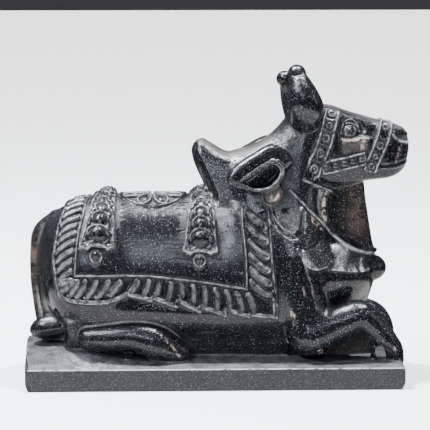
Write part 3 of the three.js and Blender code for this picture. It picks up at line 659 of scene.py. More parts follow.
def strap_relief(relief, u, v, strap, side):
    relief = strap_band(relief, u, v, strap)
    for i in range(len(strap["beads"])):
        relief = strap_bead(relief, u, v, strap, i, side)
    return strap_foot(relief, u, v, strap)


ROSETTE_AT = -50.0
ROSETTE_RADIUS = 27.0


def rosette_relief(relief, u, v):
    """A flower of eight petals in a ring on the middle of the back."""
    x, y = u - ROSETTE_AT, GIRTH_TOP - v
    radius, turn = np.hypot(x, y), np.arctan2(y, x)
    relief = np.where(radius < ROSETTE_RADIUS - 1, CLOTH_LIFT - 0.9, relief)
    rim = bump(radius - (ROSETTE_RADIUS - 0.6), 1.5, 1.6)
    relief = np.where(np.abs(radius - ROSETTE_RADIUS + 0.6) < 1.5, CLOTH_LIFT + rim, relief)
    local = (turn / (np.pi / 4)) % 1 - 0.5
    out = radius / ROSETTE_RADIUS
    half = 0.46 * np.sin(np.pi * np.clip((out - 0.1) / 0.84, 0, 1)) ** 0.55
    across = np.abs(local) / np.maximum(half, 1e-3)
    petal = (across < 1) & (out > 0.1) & (out < 0.94)
    edge = (1 - across) * half * radius * np.pi / 4
    relief = np.where(petal, CLOTH_LIFT - 0.4 + bump(edge - 1.0, 1.1, 2.4), relief)
    inner = np.hypot(local / 0.2, (out - 0.6) / 0.2)
    return np.where(inner < 1, CLOTH_LIFT - 0.2 + 2.0 * dome(inner), relief)


def trunk_relief(side):
    def draw(u, v):
        relief = np.zeros(u.shape)
        edge = outline_distance(u, v, CLOTH_OUTLINE)
        border, _ = path_distance(u, v, FRAME)
        field = outline_distance(u, v, FRAME)
        plate = np.where(field < 0, CLOTH_LIFT, BORDER["floor"])
        relief = np.where(edge < 0, plate, relief)
        for start, end, width, bend in leaf_lines(side):
            lip = 0.0 if end[1] < 60 else 0.5
            relief = leaf(relief, u, v, start, end, width, BORDER["leaf"], bend, BORDER["floor"], lip)
        low = (v < 60) & (edge > -3.4)
        relief = raise_to(relief, low & (edge < 0), BORDER["band"] - 1.0 * np.clip(1 + edge / 3.4, 0, 1))
        rim = BORDER["floor"] + bump(edge + 1.3, 1.3, BORDER["edge"] - BORDER["floor"])
        relief = np.where((edge < 0) & (edge > -2.6) & ~low, np.maximum(relief, rim), relief)
        relief = np.where(edge < 0, relief + tile_lift(u, v), 0)
        relief = np.where(border < 2.0, CLOTH_LIFT - 0.8 + bump(border, 1.0, 1.9), relief)
        relief = rosette_relief(relief, u, v)
        for strap in STRAPS:
            relief = strap_relief(relief, u, v, strap, side)
        return relief
    return draw


def both_sides(draw, low, high, step):
    return {side: Sheet(low, high, step, draw(side)) for side in (NEAR, FAR)}


def sheet_like(sheet, values):
    """A sheet over the same places with other values."""
    copy = Sheet.__new__(Sheet)
    copy.low, copy.step, copy.values = sheet.low, sheet.step, values
    return copy


def detail_of(sheets, reach=3):
    """How far each place of a relief stands out of, or lies under, the middling height round it."""
    detail = {}
    for side, sheet in sheets.items():
        total = np.zeros(sheet.values.shape)
        for i in range(-reach, reach + 1):
            for j in range(-reach, reach + 1):
                total += np.roll(np.roll(sheet.values, i, 0), j, 1)
        detail[side] = sheet_like(sheet, sheet.values - total / (2 * reach + 1) ** 2)
    return detail


def leaf_crest_highlight(side):
    """Painted highlights along the crests of the border's leaves."""
    def draw(u, v):
        shine = np.zeros(u.shape)
        for start, end, width, bend in leaf_lines(side):
            s, across, _ = leaf_places(u, v, start, end, width, bend)
            crest = np.exp(-(((across - 0.25) / 0.45) ** 2)) * between(s, 0.0, 0.2) * between(s, 1.0, 0.8)
            shine = np.maximum(shine, crest * (0.6 if end[1] < 60 else 1.0))
        return shine
    return draw


FLANK_SHEET = ((-137.0, 25.0), (58.0, GIRTH_TOP + 2), 0.4)
# Painted highlights on the crests of the border's leaves.
LEAF_CREST_HIGHLIGHT = both_sides(leaf_crest_highlight, *FLANK_SHEET)
TRUNK_RELIEF = both_sides(trunk_relief, *FLANK_SHEET)
TRUNK_DETAIL = detail_of(TRUNK_RELIEF)


def relief_at(sheets, u, v, y):
    near = sheets[NEAR].at(u, v)
    far = sheets[FAR].at(u, v)
    return np.where(y < 0, near, far)


def dressed_trunk(trunk, chunk):
    if chunk.low[0] > 60 or chunk.high[0] < -140 or chunk.high[2] < 24:
        return trunk
    lift = relief_at(TRUNK_RELIEF, chunk.x, girth(chunk.y, chunk.z), chunk.y)
    return trunk - lift * (chunk.z > 20)


# The plinth.
PLINTH_PLAN = np.array([[-150, -63], [150, -63], [150, 63], [-150, 63], [-153, 40], [-154, 0], [-153, -40]])
PLINTH_WEAR = {"tail": 3.0, "head": 7.0}
MOUND = smooth_table([[-149, 13], [-118, 15], [-72, 8.5], [40, 5.5], [95, 3], [149, 3]])
PLINTH_SHEET = Sheet((-170.0, -80.0), (165.0, 80.0), 1.0,
                     lambda u, v: outline_distance(u, v, PLINTH_PLAN))


def slab_field(x, y, z):
    plan = PLINTH_SHEET.at(x, y)
    upright = np.abs(z + PLINTH["height"] / 2) - PLINTH["height"] / 2
    worn = np.where(x > 0, PLINTH_WEAR["head"], PLINTH_WEAR["tail"])
    end = np.where(x > 0, PLINTH["length"] / 2, PLINTH["length"] / 2 + PLINTH["bulge"])
    past = np.maximum(np.abs(x) - end + worn, 0)
    below = np.maximum(worn - PLINTH["height"] - z, 0)
    return np.maximum(smooth_max(plan, upright, 1.2), np.hypot(past, below) - worn)


def mound_field(x, y, z):
    rise = MOUND(x)[0] * (1 - (y / 62) ** 2) - 0.2
    plan = PLINTH_SHEET.at(x, y)
    return smooth_max(smooth_max(z - rise, plan + 1.0, 1.0), -z - 9, 1.0)


# The whole carving.
def bare_field(points):
    """The bull without its trappings."""
    chunk = Chunk(points)
    trunk = joined(np.full(len(points), FAR_AWAY), TRUNK, chunk)
    return carved(joined(trunk, BODY, chunk), HOLLOWS, chunk)


def skin_across(x, z, side):
    """How far from the middle plane the skin is at a place seen from one side."""
    out = np.arange(70, 0, -0.25)
    line = np.stack([np.full(out.shape, x), side * out, np.full(out.shape, z)], 1)
    values = bare_field(line)
    inside = np.nonzero(values < 0)[0]
    return out[inside[0]] if len(inside) else 0.0


def on_skin(places, side, sink=0.0):
    return [[x, skin_across(x, z, side) - sink, z] for x, z in places]


def gem(stone, side):
    """A gem on the skin: facets that fall from its apex to its spokes, inside its outline."""
    outline = np.array(stone["outline"], float)
    spokes = [np.array(p) + [0, stone.get("rise", 1.5), 0] for p in on_skin(stone["spokes"], side)]
    x, z = stone["apex"]
    apex = np.array([x, skin_across(x, z, side) + stone["lift"], z])
    planes = []
    for a, b in zip(spokes, spokes[1:] + spokes[:1]):
        normal = np.cross(b - apex, a - apex)
        normal *= np.sign(normal[1]) / np.linalg.norm(normal)
        planes.append((normal, normal @ apex))
    depth = min(p[1] for p in spokes) - 6.0
    low, high = outline.min(0), outline.max(0)
    sheet = Sheet(low - 12, high + 12, 0.5, lambda u, v: outline_distance(u, v, outline))

    def field(x, y, z):
        out = np.maximum(sheet.at(x, z), depth - y)
        for normal, offset in planes:
            out = smooth_max(out, normal[0] * x + normal[1] * y + normal[2] * z - offset, 0.4)
        return out

    return form([low[0], depth, low[1]], [high[0], apex[1] + 1, high[1]], side, 0.0, field)


NECKLACE = [[59.6, 138], [67.5, 130.2], [77.3, 119.4], [86, 111], [93.2, 101.5], [102.4, 94.4],
            [110.4, 89.7], [119, 86], [127.3, 84]]
GEMS = [
    {"outline": [[49.8, 121.5], [59.4, 125.6], [69.6, 124.6], [67.2, 103.8], [58.7, 104.8], [52.6, 112.8]],
     "apex": (65.5, 110.5), "spokes": [[50.5, 119], [69.6, 124.6], [69, 111], [61, 104.4]], "lift": 5.5},
    {"outline": [[71.2, 121.5], [76.4, 115.6], [86.9, 105.2], [84.9, 104.4], [70.3, 104.6]],
     "apex": (75, 109.5), "spokes": [[71.2, 121.5], [86.5, 105], [70.3, 104.8]], "lift": 5.0},
    {"outline": [[68.6, 98.3], [71.7, 102.6], [91.4, 101.6], [94, 97.4], [96, 84.3], [93.4, 80.4],
                 [88.1, 76.7], [79.7, 75.4], [73.2, 78.2], [69.2, 84.5], [68.4, 92.3]],
     "apex": (84.8, 90.2), "spokes": [[68.6, 91.2], [92.4, 101.6], [95.4, 81.6]], "lift": 8.5},
    {"outline": [[96.6, 83], [107.2, 89.6], [110, 88.6], [114.3, 71.4], [112, 66.6], [96, 67.4],
                 [92.6, 73.6]],
     "apex": (103.5, 73.6), "spokes": [[98.6, 84.6], [109.3, 89.2], [113.6, 71.8], [93.6, 74.4]],
     "lift": 7.5},
    {"outline": [[114.6, 78.6], [121.5, 84.2], [124.2, 83.4], [131, 71.8], [128, 66.4], [117, 67.8]],
     "apex": (119.3, 72.2), "spokes": [[117.4, 81], [123.6, 84], [130.4, 71.6], [115.4, 71.8]],
     "lift": 7.0},
]
COLLAR_LINES = [
    [[44.2, 125.7], [45.7, 119.4], [49.4, 112.2], [54.8, 107], [60.3, 104.8], [65.8, 100.4]],
    [[41.8, 123.3], [43.3, 115.6], [47, 108.2], [53.1, 102.4], [60.1, 99.1], [66.6, 100.4]],
]
THROAT_STRAP = [[70.9, 145.7], [80.2, 141.4], [87.7, 138.2], [93.8, 134.9]]
SHOULDER_LINE = [[64.8, 92.5], [70.4, 80.6], [73.7, 70.8], [76.2, 63.4], [77.7, 53.9], [80.1, 45.4]]


def skin_line(places, radius, side):
    """A cord that lies on the skin through places seen from one side."""
    return [point + [radius] for point in on_skin(places, side)]


def trappings():
    """The necklace's cord, its gems, the collar's crescent, the throat strap and the ear's rims."""
    forms = []
    for side in (NEAR, FAR):
        forms += [gem(stone, side) for stone in GEMS]
        points = [point + [1.1 + 0.12 * i] for i, point in enumerate(on_skin(NECKLACE, side, 0.3))]
        forms.append(limb(points + [[131, 0, 85, 2.0]], side=side, fillet=0.3, samples=3))
        cords = [(line, 1.2, 0.4) for line in COLLAR_LINES] + [(THROAT_STRAP, 1.5, 0.4),
                                                               (SHOULDER_LINE, 1.1, 0.8)]
        for line, radius, fillet in cords + [(line, 1.15, 0.6) for line in EAR_RIMS]:
            forms.append(limb(skin_line(line, radius, side), side=side, fillet=fillet, samples=3))
    forms.append(ellipsoid([127.5, 0, 70.5], [13, 11, 11], fillet=2.0))
    return forms


TRAPPINGS = trappings()


# Relief on the head.
BANDS = [
    {"path": [[94.7, 206], [92.7, 194.9], [90.3, 185.7], [87.5, 175.3], [84, 166], [80.2, 156.9],
              [77.3, 147.2]],
     "half": 5.9, "cuts": [0, 13.2, 22, 33.5, 47.5, 60.5]},
    {"path": [[139, 197], [136.8, 184.3], [134.7, 177.3], [131.5, 169.3], [129.5, 164.5], [126.3, 157.3],
              [124.1, 150]],
     "half": 5.4, "cuts": [0, 19.8, 31.2, 38.8, 48]},
    {"path": [[85.8, 154.6], [97.7, 157.1], [109.9, 159.7], [121.3, 162.2]], "half": 5.3,
     "cuts": [0, 7.2, 14.5, 22, 29.2, 36.3]},
]
BAND_LIFT = 1.6


def band_relief(relief, u, v, band, side):
    """A bridle band of sunk cells between raised edges, each with a dot, and a ring on the near side."""
    path = smooth_rows(band["path"], 6)
    gap, along = path_distance(u, v, path)
    half = band["half"]
    inside = (gap < half) & (along > 0) & (along < band["cuts"][-1])
    height = BAND_LIFT + bump(gap - half + 1.0, 1.0, 1.1)
    cuts = np.array(band["cuts"])
    nearest = np.abs(along[..., None] - cuts).min(-1)
    height = np.maximum(height, BAND_LIFT + bump(nearest, 1.2, 1.1) * (gap < half))
    height = np.where(np.abs(nearest - 1.7) < 0.5, height - 0.7 * (gap < half - 1.6), height)
    for start, end in zip(cuts[:-1], cuts[1:]):
        size = min(half, (end - start) / 2)
        spot = np.hypot(along - (start + end) / 2, gap)
        ring = spot - size * 0.46
        height = np.maximum(height, BAND_LIFT + bump(ring, 0.9, 1.2) * (side == NEAR))
        height = np.where(spot < size * 0.3, BAND_LIFT - 0.5 + bump(spot, 0.9, 1.6), height)
    return np.where(inside, np.maximum(relief, height), relief)


EYE = (108.0, 185.2)
BROW_LINES = [
    [[101.5, 188.6], [104.1, 193], [109.1, 195.8], [113.1, 193], [115.9, 186.9]], [[101.2, 183],
    [101.5, 186], [103.2, 189.6], [106.5, 191.6], [109.8, 191.7], [113, 188.8],
     [116.2, 183.6]],
]
CHEEK = {"top": [[98, 176.5], [101.5, 178.1], [108, 178.8], [116.2, 179.3], [122, 178.8], [129, 177.9]],
         "fall": 13.0}


def eye_relief(relief, u, v):
    """A hollow with two lines over it, a full eye with an iris, and the cheekbone's ledge below."""
    x, z = u - EYE[0], v - EYE[1]
    relief = relief - 2.4 * between(np.hypot((x - 1) / 12.5, (z - 1.5) / 10.5), 1.1, 0.7)
    relief = relief - 0.9 * between(np.hypot((u - 121) / 9, (v - 183) / 5), 1.1, 0.5)
    for line in BROW_LINES:
        gap, _ = path_distance(u, v, smooth_rows(line, 4))
        relief = relief + bump(gap, 1.1, 1.5)
    ball = np.hypot(x / 5.4, (z + 0.6) / 5.2)
    relief = np.where(ball < 1, np.maximum(relief, -1.6 + 3.4 * dome(ball)),
                      relief)
    iris = np.hypot(x, z - 0.4)
    relief = relief - bump(iris - 2.7, 0.7, 0.7) + bump(iris, 1.0, 0.5)
    ledge = np.interp(u, [p[0] for p in CHEEK["top"]], [p[1] for p in CHEEK["top"]])
    below = ledge - v
    ends = between(u, 95, 108) * between(u, 132, 117)
    shelf = 2.6 * between(below, -0.6, 0.6) * np.clip(1 - below / CHEEK["fall"], 0, 1) * ends
    return relief + shelf


MOUTH = [[128, 155.6], [139.4, 155.4], [146, 156.1], [150.9, 157.9], [158, 160.5]]


def head_relief(side):
    def draw(u, v):
        relief = eye_relief(np.zeros(u.shape), u, v)
        mouth, _ = path_distance(u, v, MOUTH)
        lip = 0.9 * np.exp(-((mouth - 2.4) ** 2)) * (v < 157)
        relief = relief - 2.2 * np.exp(-(mouth**2)) + lip
        cave = np.hypot((u - 150.5) / 5.0, (v - 182.5) / 3.4)
        relief = relief - 2.6 * between(cave, 1.1, 0.4)
        flare, _ = path_distance(u, v, [[143.5, 180], [146, 177.6], [150, 175.4], [155.5, 174.4]])
        relief = relief + bump(flare, 1.4, 1.6)
        above, _ = path_distance(u, v, [[145, 187.6], [151, 187.4], [155, 184]])
        relief = relief + bump(above, 1.2, 1.0)
        for band in BANDS:
            relief = band_relief(relief, u, v, band, side)
        return relief
    return draw


HEAD_RELIEF = both_sides(head_relief, (64.0, 125.0), (165.0, 232.0), 0.4)
HEAD_DETAIL = detail_of(HEAD_RELIEF)


def head_girth(x, y, z):
    """The height on the head's sides, carried on over its crown and under its jaw."""
    up, half = head_section(x, z)
    share = np.clip((np.abs(up) - 0.5) * 2, 0, 1)
    return z + np.sign(up) * share * np.maximum(half - np.abs(y), -3.0)


def dressed_head(field, chunk):
    if chunk.high[0] < 70 or chunk.high[2] < 128:
        return field
    head = head_field(chunk.x, chunk.y, chunk.z)
    near_head = np.clip(1 - np.abs(field - head) / 3.0, 0, 1)
    lift = relief_at(HEAD_RELIEF, chunk.x, head_girth(chunk.x, chunk.y, chunk.z), chunk.y)
    return field - lift * near_head * (chunk.x > 74)


WAVES = [(RANDOM.normal(size=3) / 14.0, RANDOM.uniform(0, 6.3)) for _ in range(5)]


def hand_of_the_carver(chunk):
    """The slow unevenness of a surface worked by hand."""
    return sum(np.sin(k[0] * chunk.x + k[1] * chunk.y + k[2] * chunk.z + phase) for k,
               phase in WAVES) * 0.06


def carving_field(points):
    chunk = Chunk(points)
    trunk = joined(np.full(len(points), FAR_AWAY), TRUNK, chunk)
    body = dressed_trunk(trunk, chunk)
    body = carved(joined(body, BODY, chunk), HOLLOWS, chunk)
    body = dressed_head(body, chunk)
    body = joined(body, TRAPPINGS, chunk)
    body = body + hand_of_the_carver(chunk)
    if chunk.low[2] < 28:
        body = smooth_min(body, mound_field(chunk.x, chunk.y, chunk.z), 1.5)
        body = smooth_max(body, -chunk.z - 12, 0.0)
        body = np.minimum(body, slab_field(chunk.x, chunk.y, chunk.z))
    return body


# From the field to a skin. The field is worked out in this box round the figure.
FIELD_LOW = np.array([-157.0, -66.0, -19.6])
FIELD_HIGH = np.array([160.5, 66.0, 240.5])


GROUP = 6  # blocks along the edge of a group, which is worked out in one go
IN_BLOCK = np.stack(np.meshgrid(*[np.arange(BLOCK)] * 3, indexing="ij"), -1).reshape(-1, 3)


def sample_group(grid, coarse, low, start):
    """The field in a group of blocks: in or out from each block's middle, and in full near the skin."""
    i, j, k = start
    part = coarse[i:i + GROUP, j:j + GROUP, k:k + GROUP]
    shape = part.shape[:3]
    rough = carving_field(part.reshape(-1, 3))
    fill = np.where(rough < 0, -FAR_AWAY, FAR_AWAY).reshape(shape)
    for axis in range(3):
        fill = np.repeat(fill, BLOCK, axis)
    first, last = start * BLOCK, (start + shape) * BLOCK
    view = grid[first[0]:last[0], first[1]:last[1], first[2]:last[2]]
    view[:] = fill
    close = np.argwhere((np.abs(rough) < CELL * BLOCK * 1.25 + 0.8).reshape(shape))
    if len(close):
        cells = (close[:, None, :] * BLOCK + IN_BLOCK[None]).reshape(-1, 3)
        view[cells[:, 0], cells[:, 1], cells[:, 2]] = carving_field(low + (cells + first) * CELL)


def sample_field(low, high):
    """The field on a grid, worked out only near the skin."""
    size = CELL * BLOCK
    blocks = np.ceil((high - low) / size).astype(int)
    axes = [low[a] + (np.arange(blocks[a]) + 0.5) * size - CELL / 2 for a in range(3)]
    grid = np.full(blocks * BLOCK, FAR_AWAY, np.float32)
    coarse = np.stack(np.meshgrid(*axes, indexing="ij"), -1)
    for start in product(*[range(0, count, GROUP) for count in blocks]):
        sample_group(grid, coarse, low, np.array(start))
    return grid


def crossings(grid, inside, axis, strides):
    """Where the skin crosses the grid's edges along an axis, and the four cells round each crossing."""
    first = [slice(1, -1)] * 3
    first[axis] = slice(0, -1)
    second = list(first)
    second[axis] = slice(1, None)
    crossed = inside[tuple(first)] != inside[tuple(second)]
    start = np.argwhere(crossed) + np.array([0 if a == axis else 1 for a in range(3)])
    flat = start @ strides
    a, b = grid.ravel()[flat], grid.ravel()[flat + strides[axis]]
    point = start.astype(np.float64)
    point[:, axis] += a / (a - b)
    one, other = [strides[o] for o in range(3) if o != axis]
    quad = np.stack([flat, flat - one, flat - one - other, flat - other], 1)
    flip = (a > 0) if axis != 1 else (a < 0)
    return point, quad, flip


def skin_of(grid, low):
    """A skin of quads through the field's zero, one vertex in each cell that it crosses."""
    inside = grid < 0
    keys, places, quads = [], [], []
    strides = np.array([grid.shape[1] * grid.shape[2], grid.shape[2], 1])
    for axis in range(3):
        point, quad, flip = crossings(grid, inside, axis, strides)
        keys.append(quad.T.ravel())
        places.append(np.tile(point, (4, 1)))
        quad[flip] = quad[flip][:, ::-1]
        quads.append(quad)
    keys, places = np.concatenate(keys), np.concatenate(places)
    unique, index = np.unique(keys, return_inverse=True)
    count = np.bincount(index)
    vertices = np.stack([np.bincount(index, places[:, a]) / count for a in range(3)], 1)
    faces = np.searchsorted(unique, np.concatenate(quads))
    return low + vertices * CELL, faces


def in_groups(points):
    """The points' numbers in groups that lie together."""
    order = np.lexsort((points[:, 1] // 18, points[:, 2] // 18, points[:, 0] // 18))
    return np.array_split(order, max(len(order) // 6000, 1))


def slopes(points, step=0.15):
    """The field and its gradient at points, in groups that lie together."""
    value = np.zeros(len(points))
    slope = np.zeros((len(points), 3))
    for part in in_groups(points):
        here = points[part]
        for axis in range(3):
            move = np.zeros(3)
            move[axis] = step
            ahead, behind = carving_field(here + move), carving_field(here - move)
            slope[part, axis] = (ahead - behind) / (2 * step)
            value[part] += (ahead + behind) / 6
    return value, slope


def settle(points):
    """Points moved on to the skin."""
    value, slope = slopes(points)
    length = np.maximum(np.linalg.norm(slope, axis=1), 0.3)
    move = np.clip(value / length, -0.6 * CELL, 0.6 * CELL)
    return points - slope / length[:, None] * move[:, None]


def unit(rows):
    return rows / np.maximum(np.linalg.norm(rows, axis=1), 1e-6)[:, None]


def read_all(items, name, width, kind):
    """One property of all of a mesh's vertices, loops or faces."""
    values = np.zeros(len(items) * width, kind)
    items.foreach_get(name, values)
    return values.reshape(-1, width) if width > 1 else values


def corner_normals(mesh, normals):
    """The skin's own normals, but the face's where a long face meets a wall."""
    corners = read_all(mesh.loops, "vertex_index", 1, np.int32)
    places = read_all(mesh.vertices, "co", 3, np.float32) / MILLIMETRE
    sizes = read_all(mesh.polygons, "loop_total", 1, np.int32)
    starts = np.cumsum(sizes) - sizes
    owner = np.repeat(np.arange(len(sizes)), sizes)
    following = np.arange(len(corners)) + 1
    last = starts + sizes - 1
    following[last] = starts
    reach = np.linalg.norm(places[corners] - places[corners[following]], axis=1)
    longest = np.maximum.reduceat(reach, starts)[owner]
    own = normals[corners]
    face = read_all(mesh.polygons, "normal", 3, np.float32)[owner]
    share = between(longest, 1.8, 3.0) * between((own * face).sum(1), 0.998, 0.988)
    mixed = own * (1 - share[:, None]) + face * share[:, None]
    return unit(mixed)


def mesh_from(name, vertices, faces):
    mesh = bpy.data.meshes.new(name)
    mesh.vertices.add(len(vertices))
    mesh.vertices.foreach_set("co", vertices.astype(np.float32).ravel())
    corners = faces.shape[1]
    mesh.loops.add(faces.size)
    mesh.loops.foreach_set("vertex_index", faces.astype(np.int32).ravel())
    mesh.polygons.add(len(faces))
    mesh.polygons.foreach_set("loop_start", np.arange(0, faces.size, corners, dtype=np.int32))
    mesh.update(calc_edges=True)
    mesh.validate()
    return mesh


def thin_out(bull, triangles):
    """Fewer triangles, down to the most that a piece may have."""
    thin = bull.modifiers.new("thin", "DECIMATE")
    thin.ratio = min(1.0, MAX_TRIANGLES / triangles)
    bpy.context.view_layer.objects.active = bull
    bull.select_set(True)
    bpy.ops.object.modifier_apply(modifier="thin")


def finish_skin(mesh, lift):
    """The skin's normals, and the masks of its finishes at its vertices."""
    places = read_all(mesh.vertices, "co", 3, np.float32) / MILLIMETRE - lift
    places = places.astype(np.float64)
    _, slope = slopes(places)
    normals = unit(slope)
    mesh.polygons.foreach_set("use_smooth", np.ones(len(mesh.polygons), bool))
    mesh.normals_split_custom_set(corner_normals(mesh, normals).tolist())
    for name, values in finishes(places, normals).items():
        layer = mesh.attributes.new(name, "FLOAT", "POINT")
        layer.data.foreach_set("value", np.clip(values, 0, 1).astype(np.float32))


def sculpt():
    grid = sample_field(FIELD_LOW, FIELD_HIGH)
    vertices, faces = skin_of(grid, FIELD_LOW)
    vertices = settle(vertices)
    lift = np.array([0, 0, PLINTH["height"]])
    mesh = mesh_from("bull", (vertices + lift) * MILLIMETRE, faces)
    bull = bpy.data.objects.new("bull_carving", mesh)
    bpy.context.scene.collection.objects.link(bull)
    thin_out(bull, 2 * len(faces))
    finish_skin(bull.data, lift)
    return bull


def field_values(points):
    values = np.zeros(len(points))
    for part in in_groups(points):
        values[part] = carving_field(points[part])
    return values


def patch(points, at, radii):
    """A soft mask round a place."""
    gap = np.sqrt((((points - np.array(at)) / np.array(radii)) ** 2).sum(1))
    return between(gap, 1.2, 0.6)


def near_line(points, line, radius):
    """A mask along a line seen from the side that the viewer sees."""
    gap, _ = path_distance(points[:, 0], points[:, 2], np.array(line))
    return between(gap, radius + 0.6, radius - 0.4) * (points[:, 1] < 0)


PROBE_NEAR, PROBE_WIDE = 0.9, 2.6  # how far off the skin the field is read to tell arrises and hollows
HEAD_EMPHASIS = 1.5  # the head's relief is finer, so it counts for more
# Lines where the polish is worn off: places, half width, and how much.
THIN_LINES = [
    (NECKLACE[:5], 0.5, 0.7), (NECKLACE[4:], 1.0, 0.9), (THROAT_STRAP, 0.6, 0.5),
    (SHOULDER_LINE, 0.2, 0.35),
    ([[144.5, 179], [147, 176.8], [150, 175.4], [155.5, 174.4]], 0.6, 0.9),
]
THIN_LINES += [(line, 0.2, 0.25) for line in COLLAR_LINES + EAR_RIMS]
# Bruises down to bare stone, and painted pinkish highlights on the cheek's ledge, the neck's fold, the
# shoulder, the muzzle and under the ear: places and half width.
BARE_AND_HIGHLIGHT_STREAKS = [
    ([[103, 177.5], [112, 177.4], [122, 177.5]], 1.2), ([[114, 173], [121, 171.5]], 0.8), ([[89.5, 134],
    [87.5, 127], [87, 120], [88.5, 114]], 1.4), ([[68.6, 62], [71, 56.5]], 0.3), ([[70.2, 119],
    [68.9, 106.5]], 0.2), ([[77, 114], [85.5, 105.6]], 0.4), ([[145, 159], [148, 163],
    [149.5, 167]], 0.5), ([[-43.5, 25.5], [-36.5, 17], [-28.5, 6.5]], 0.3), ([[47, 131],
    [51, 137]], 0.8), ([[43, 129], [44.5, 134]], 0.5), ([[-100.5, 73.2], [-98.6, 72.4]], 0.9),
    ([[-86, 71.5], [-84, 71.5]], 0.4), ([[60, 40.8], [62, 40.8]], 0.4), ([[120.5, 41.5], [122, 41.5]], 0.5),
    ([[142, 13.5], [143.5, 11]], 0.5), ([[82.8, 12.5], [84.6, 8]], 0.4),
]


def lies_on(field, relief, inside):
    """A mask of the points that lie on a form dressed with a relief."""
    return between(np.abs(field - relief), 2.0, 0.8) * inside


def carving_detail(points):
    """How far the relief stands out round each point, the painted highlight on the leaves' crests, and
    whether it's on the trunk.
    """
    x, y, z = points.T
    arc, rise = girth(y, z), head_girth(x, y, z)
    trunk = joined(np.full(len(points), FAR_AWAY), TRUNK, Chunk(points))
    on_trunk = lies_on(trunk, relief_at(TRUNK_RELIEF, x, arc, y), (x < 58) * (z > 24))
    on_head = lies_on(head_field(x, y, z), relief_at(HEAD_RELIEF, x, rise, y), (x > 74) * (z > 134))
    detail = relief_at(TRUNK_DETAIL, x, arc, y) * on_trunk
    detail = detail + HEAD_EMPHASIS * relief_at(HEAD_DETAIL, x, rise, y) * on_head
    return detail, relief_at(LEAF_CREST_HIGHLIGHT, x, arc, y) * on_trunk, on_trunk


def plinth_masks(z, up):
    """Masks of the plinth's top and of its sides."""
    return between(z, 18, 10) * up * (z > -1), between(z, 0.6, -0.6)


def wear(points, detail, shine, shut):
    """Where the polish is worn off, on arrises, on crests and along thin lines, and the painted highlight
    on the border's leaves.
    """
    worn = np.maximum(between(shut, 0.84, 0.42), between(detail, 0.35, 1.1))
    lines = [near_line(points, line, radius) * share for line, radius, share in THIN_LINES]
    # The leaves' shine laid in here is a painted highlight on their crests, not wear.
    return np.maximum.reduce([worn * between(points[:, 2], 0.2, 1.2), 0.55 * shine] + lines)


def finishes(points, normals):
    """How raw, worn, dusty, browned, bare and weathered the stone is at each point, with painted shade
    under the trunk's reliefs, a painted sheen in the dust, and painted highlights on the leaves' crests,
    the cheek and some of the bare streaks.
    """
    open_near = field_values(points + normals * PROBE_NEAR) / PROBE_NEAR
    open_wide = field_values(points + normals * PROBE_WIDE) / PROBE_WIDE
    shut = -field_values(points - normals * PROBE_NEAR) / PROBE_NEAR
    y, z = points[:, 1], points[:, 2]
    detail, shine, on_trunk = carving_detail(points)
    hollow = np.maximum(between(open_near, 0.92, 0.4), between(detail, -0.25, -0.9))
    deep = between(open_wide, 0.92, 0.4)
    up = between(normals[:, 2], 0.35, 0.9)
    plinth_top, plinth_side = plinth_masks(z, up)
    pocket = patch(points, (104, -21, 12), (26, 5, 18)) * between(np.abs(normals[:, 1]), 0.5, 0.8)
    under_ear = patch(points, (46, -36, 134), (9, 10, 9))
    panel = patch(points, (112, 0, 118), (18, 15, 36)) * between(z, 86, 96)
    # A painted highlight: a patch on the cheek under the eye, laid in with the patina.
    cheek = patch(points, (112, -20, 172), (13, 9, 6))
    # Painted shade: the downward faces of the trunk's relief, above the hem, are dulled to raw black stone
    # where they would be in shadow.
    shaded_underside = on_trunk * between(normals[:, 2], -0.3, -0.6) * between(z, 58, 62)
    tail = patch(points, (-146, 0, 66), (7, 8, 46))
    crest = between(normals[:, 2], 0.55, 0.85) * between(z, 128, 150) * between(np.abs(y), 14, 8)
    dusty = 0.35 + 0.65 * patch(points, (-96, -52, 4), (26, 16, 12))
    # A painted sheen: a pale grey patch on the trunk between the second strap and the frame's front,
    # standing in for a reflection of light.
    painted_sheen_patch = 0.6 * patch(points, (8, -42, 112), (8, 16, 25))
    return {
        "raw_and_shade": np.maximum.reduce([hollow, deep * 0.5, plinth_top * 0.9, plinth_side * 0.75, pocket,
                                  under_ear,
                                  crest * 0.7, shaded_underside]),
        "worn": wear(points, detail, shine, shut),
        "dust_and_sheen": np.maximum.reduce([plinth_top * dusty, deep * up * 0.1, painted_sheen_patch]),
        "patina_and_cheek_highlight": np.maximum.reduce([pocket, under_ear * 0.6, panel * 0.6, tail, crest * 0.8, cheek * 0.4]),
        "bare": np.maximum.reduce([near_line(points, line, radius) for line, radius in BARE_AND_HIGHLIGHT_STREAKS]),
        "weather": between(normals[:, 2], -0.05, 0.35),
    }


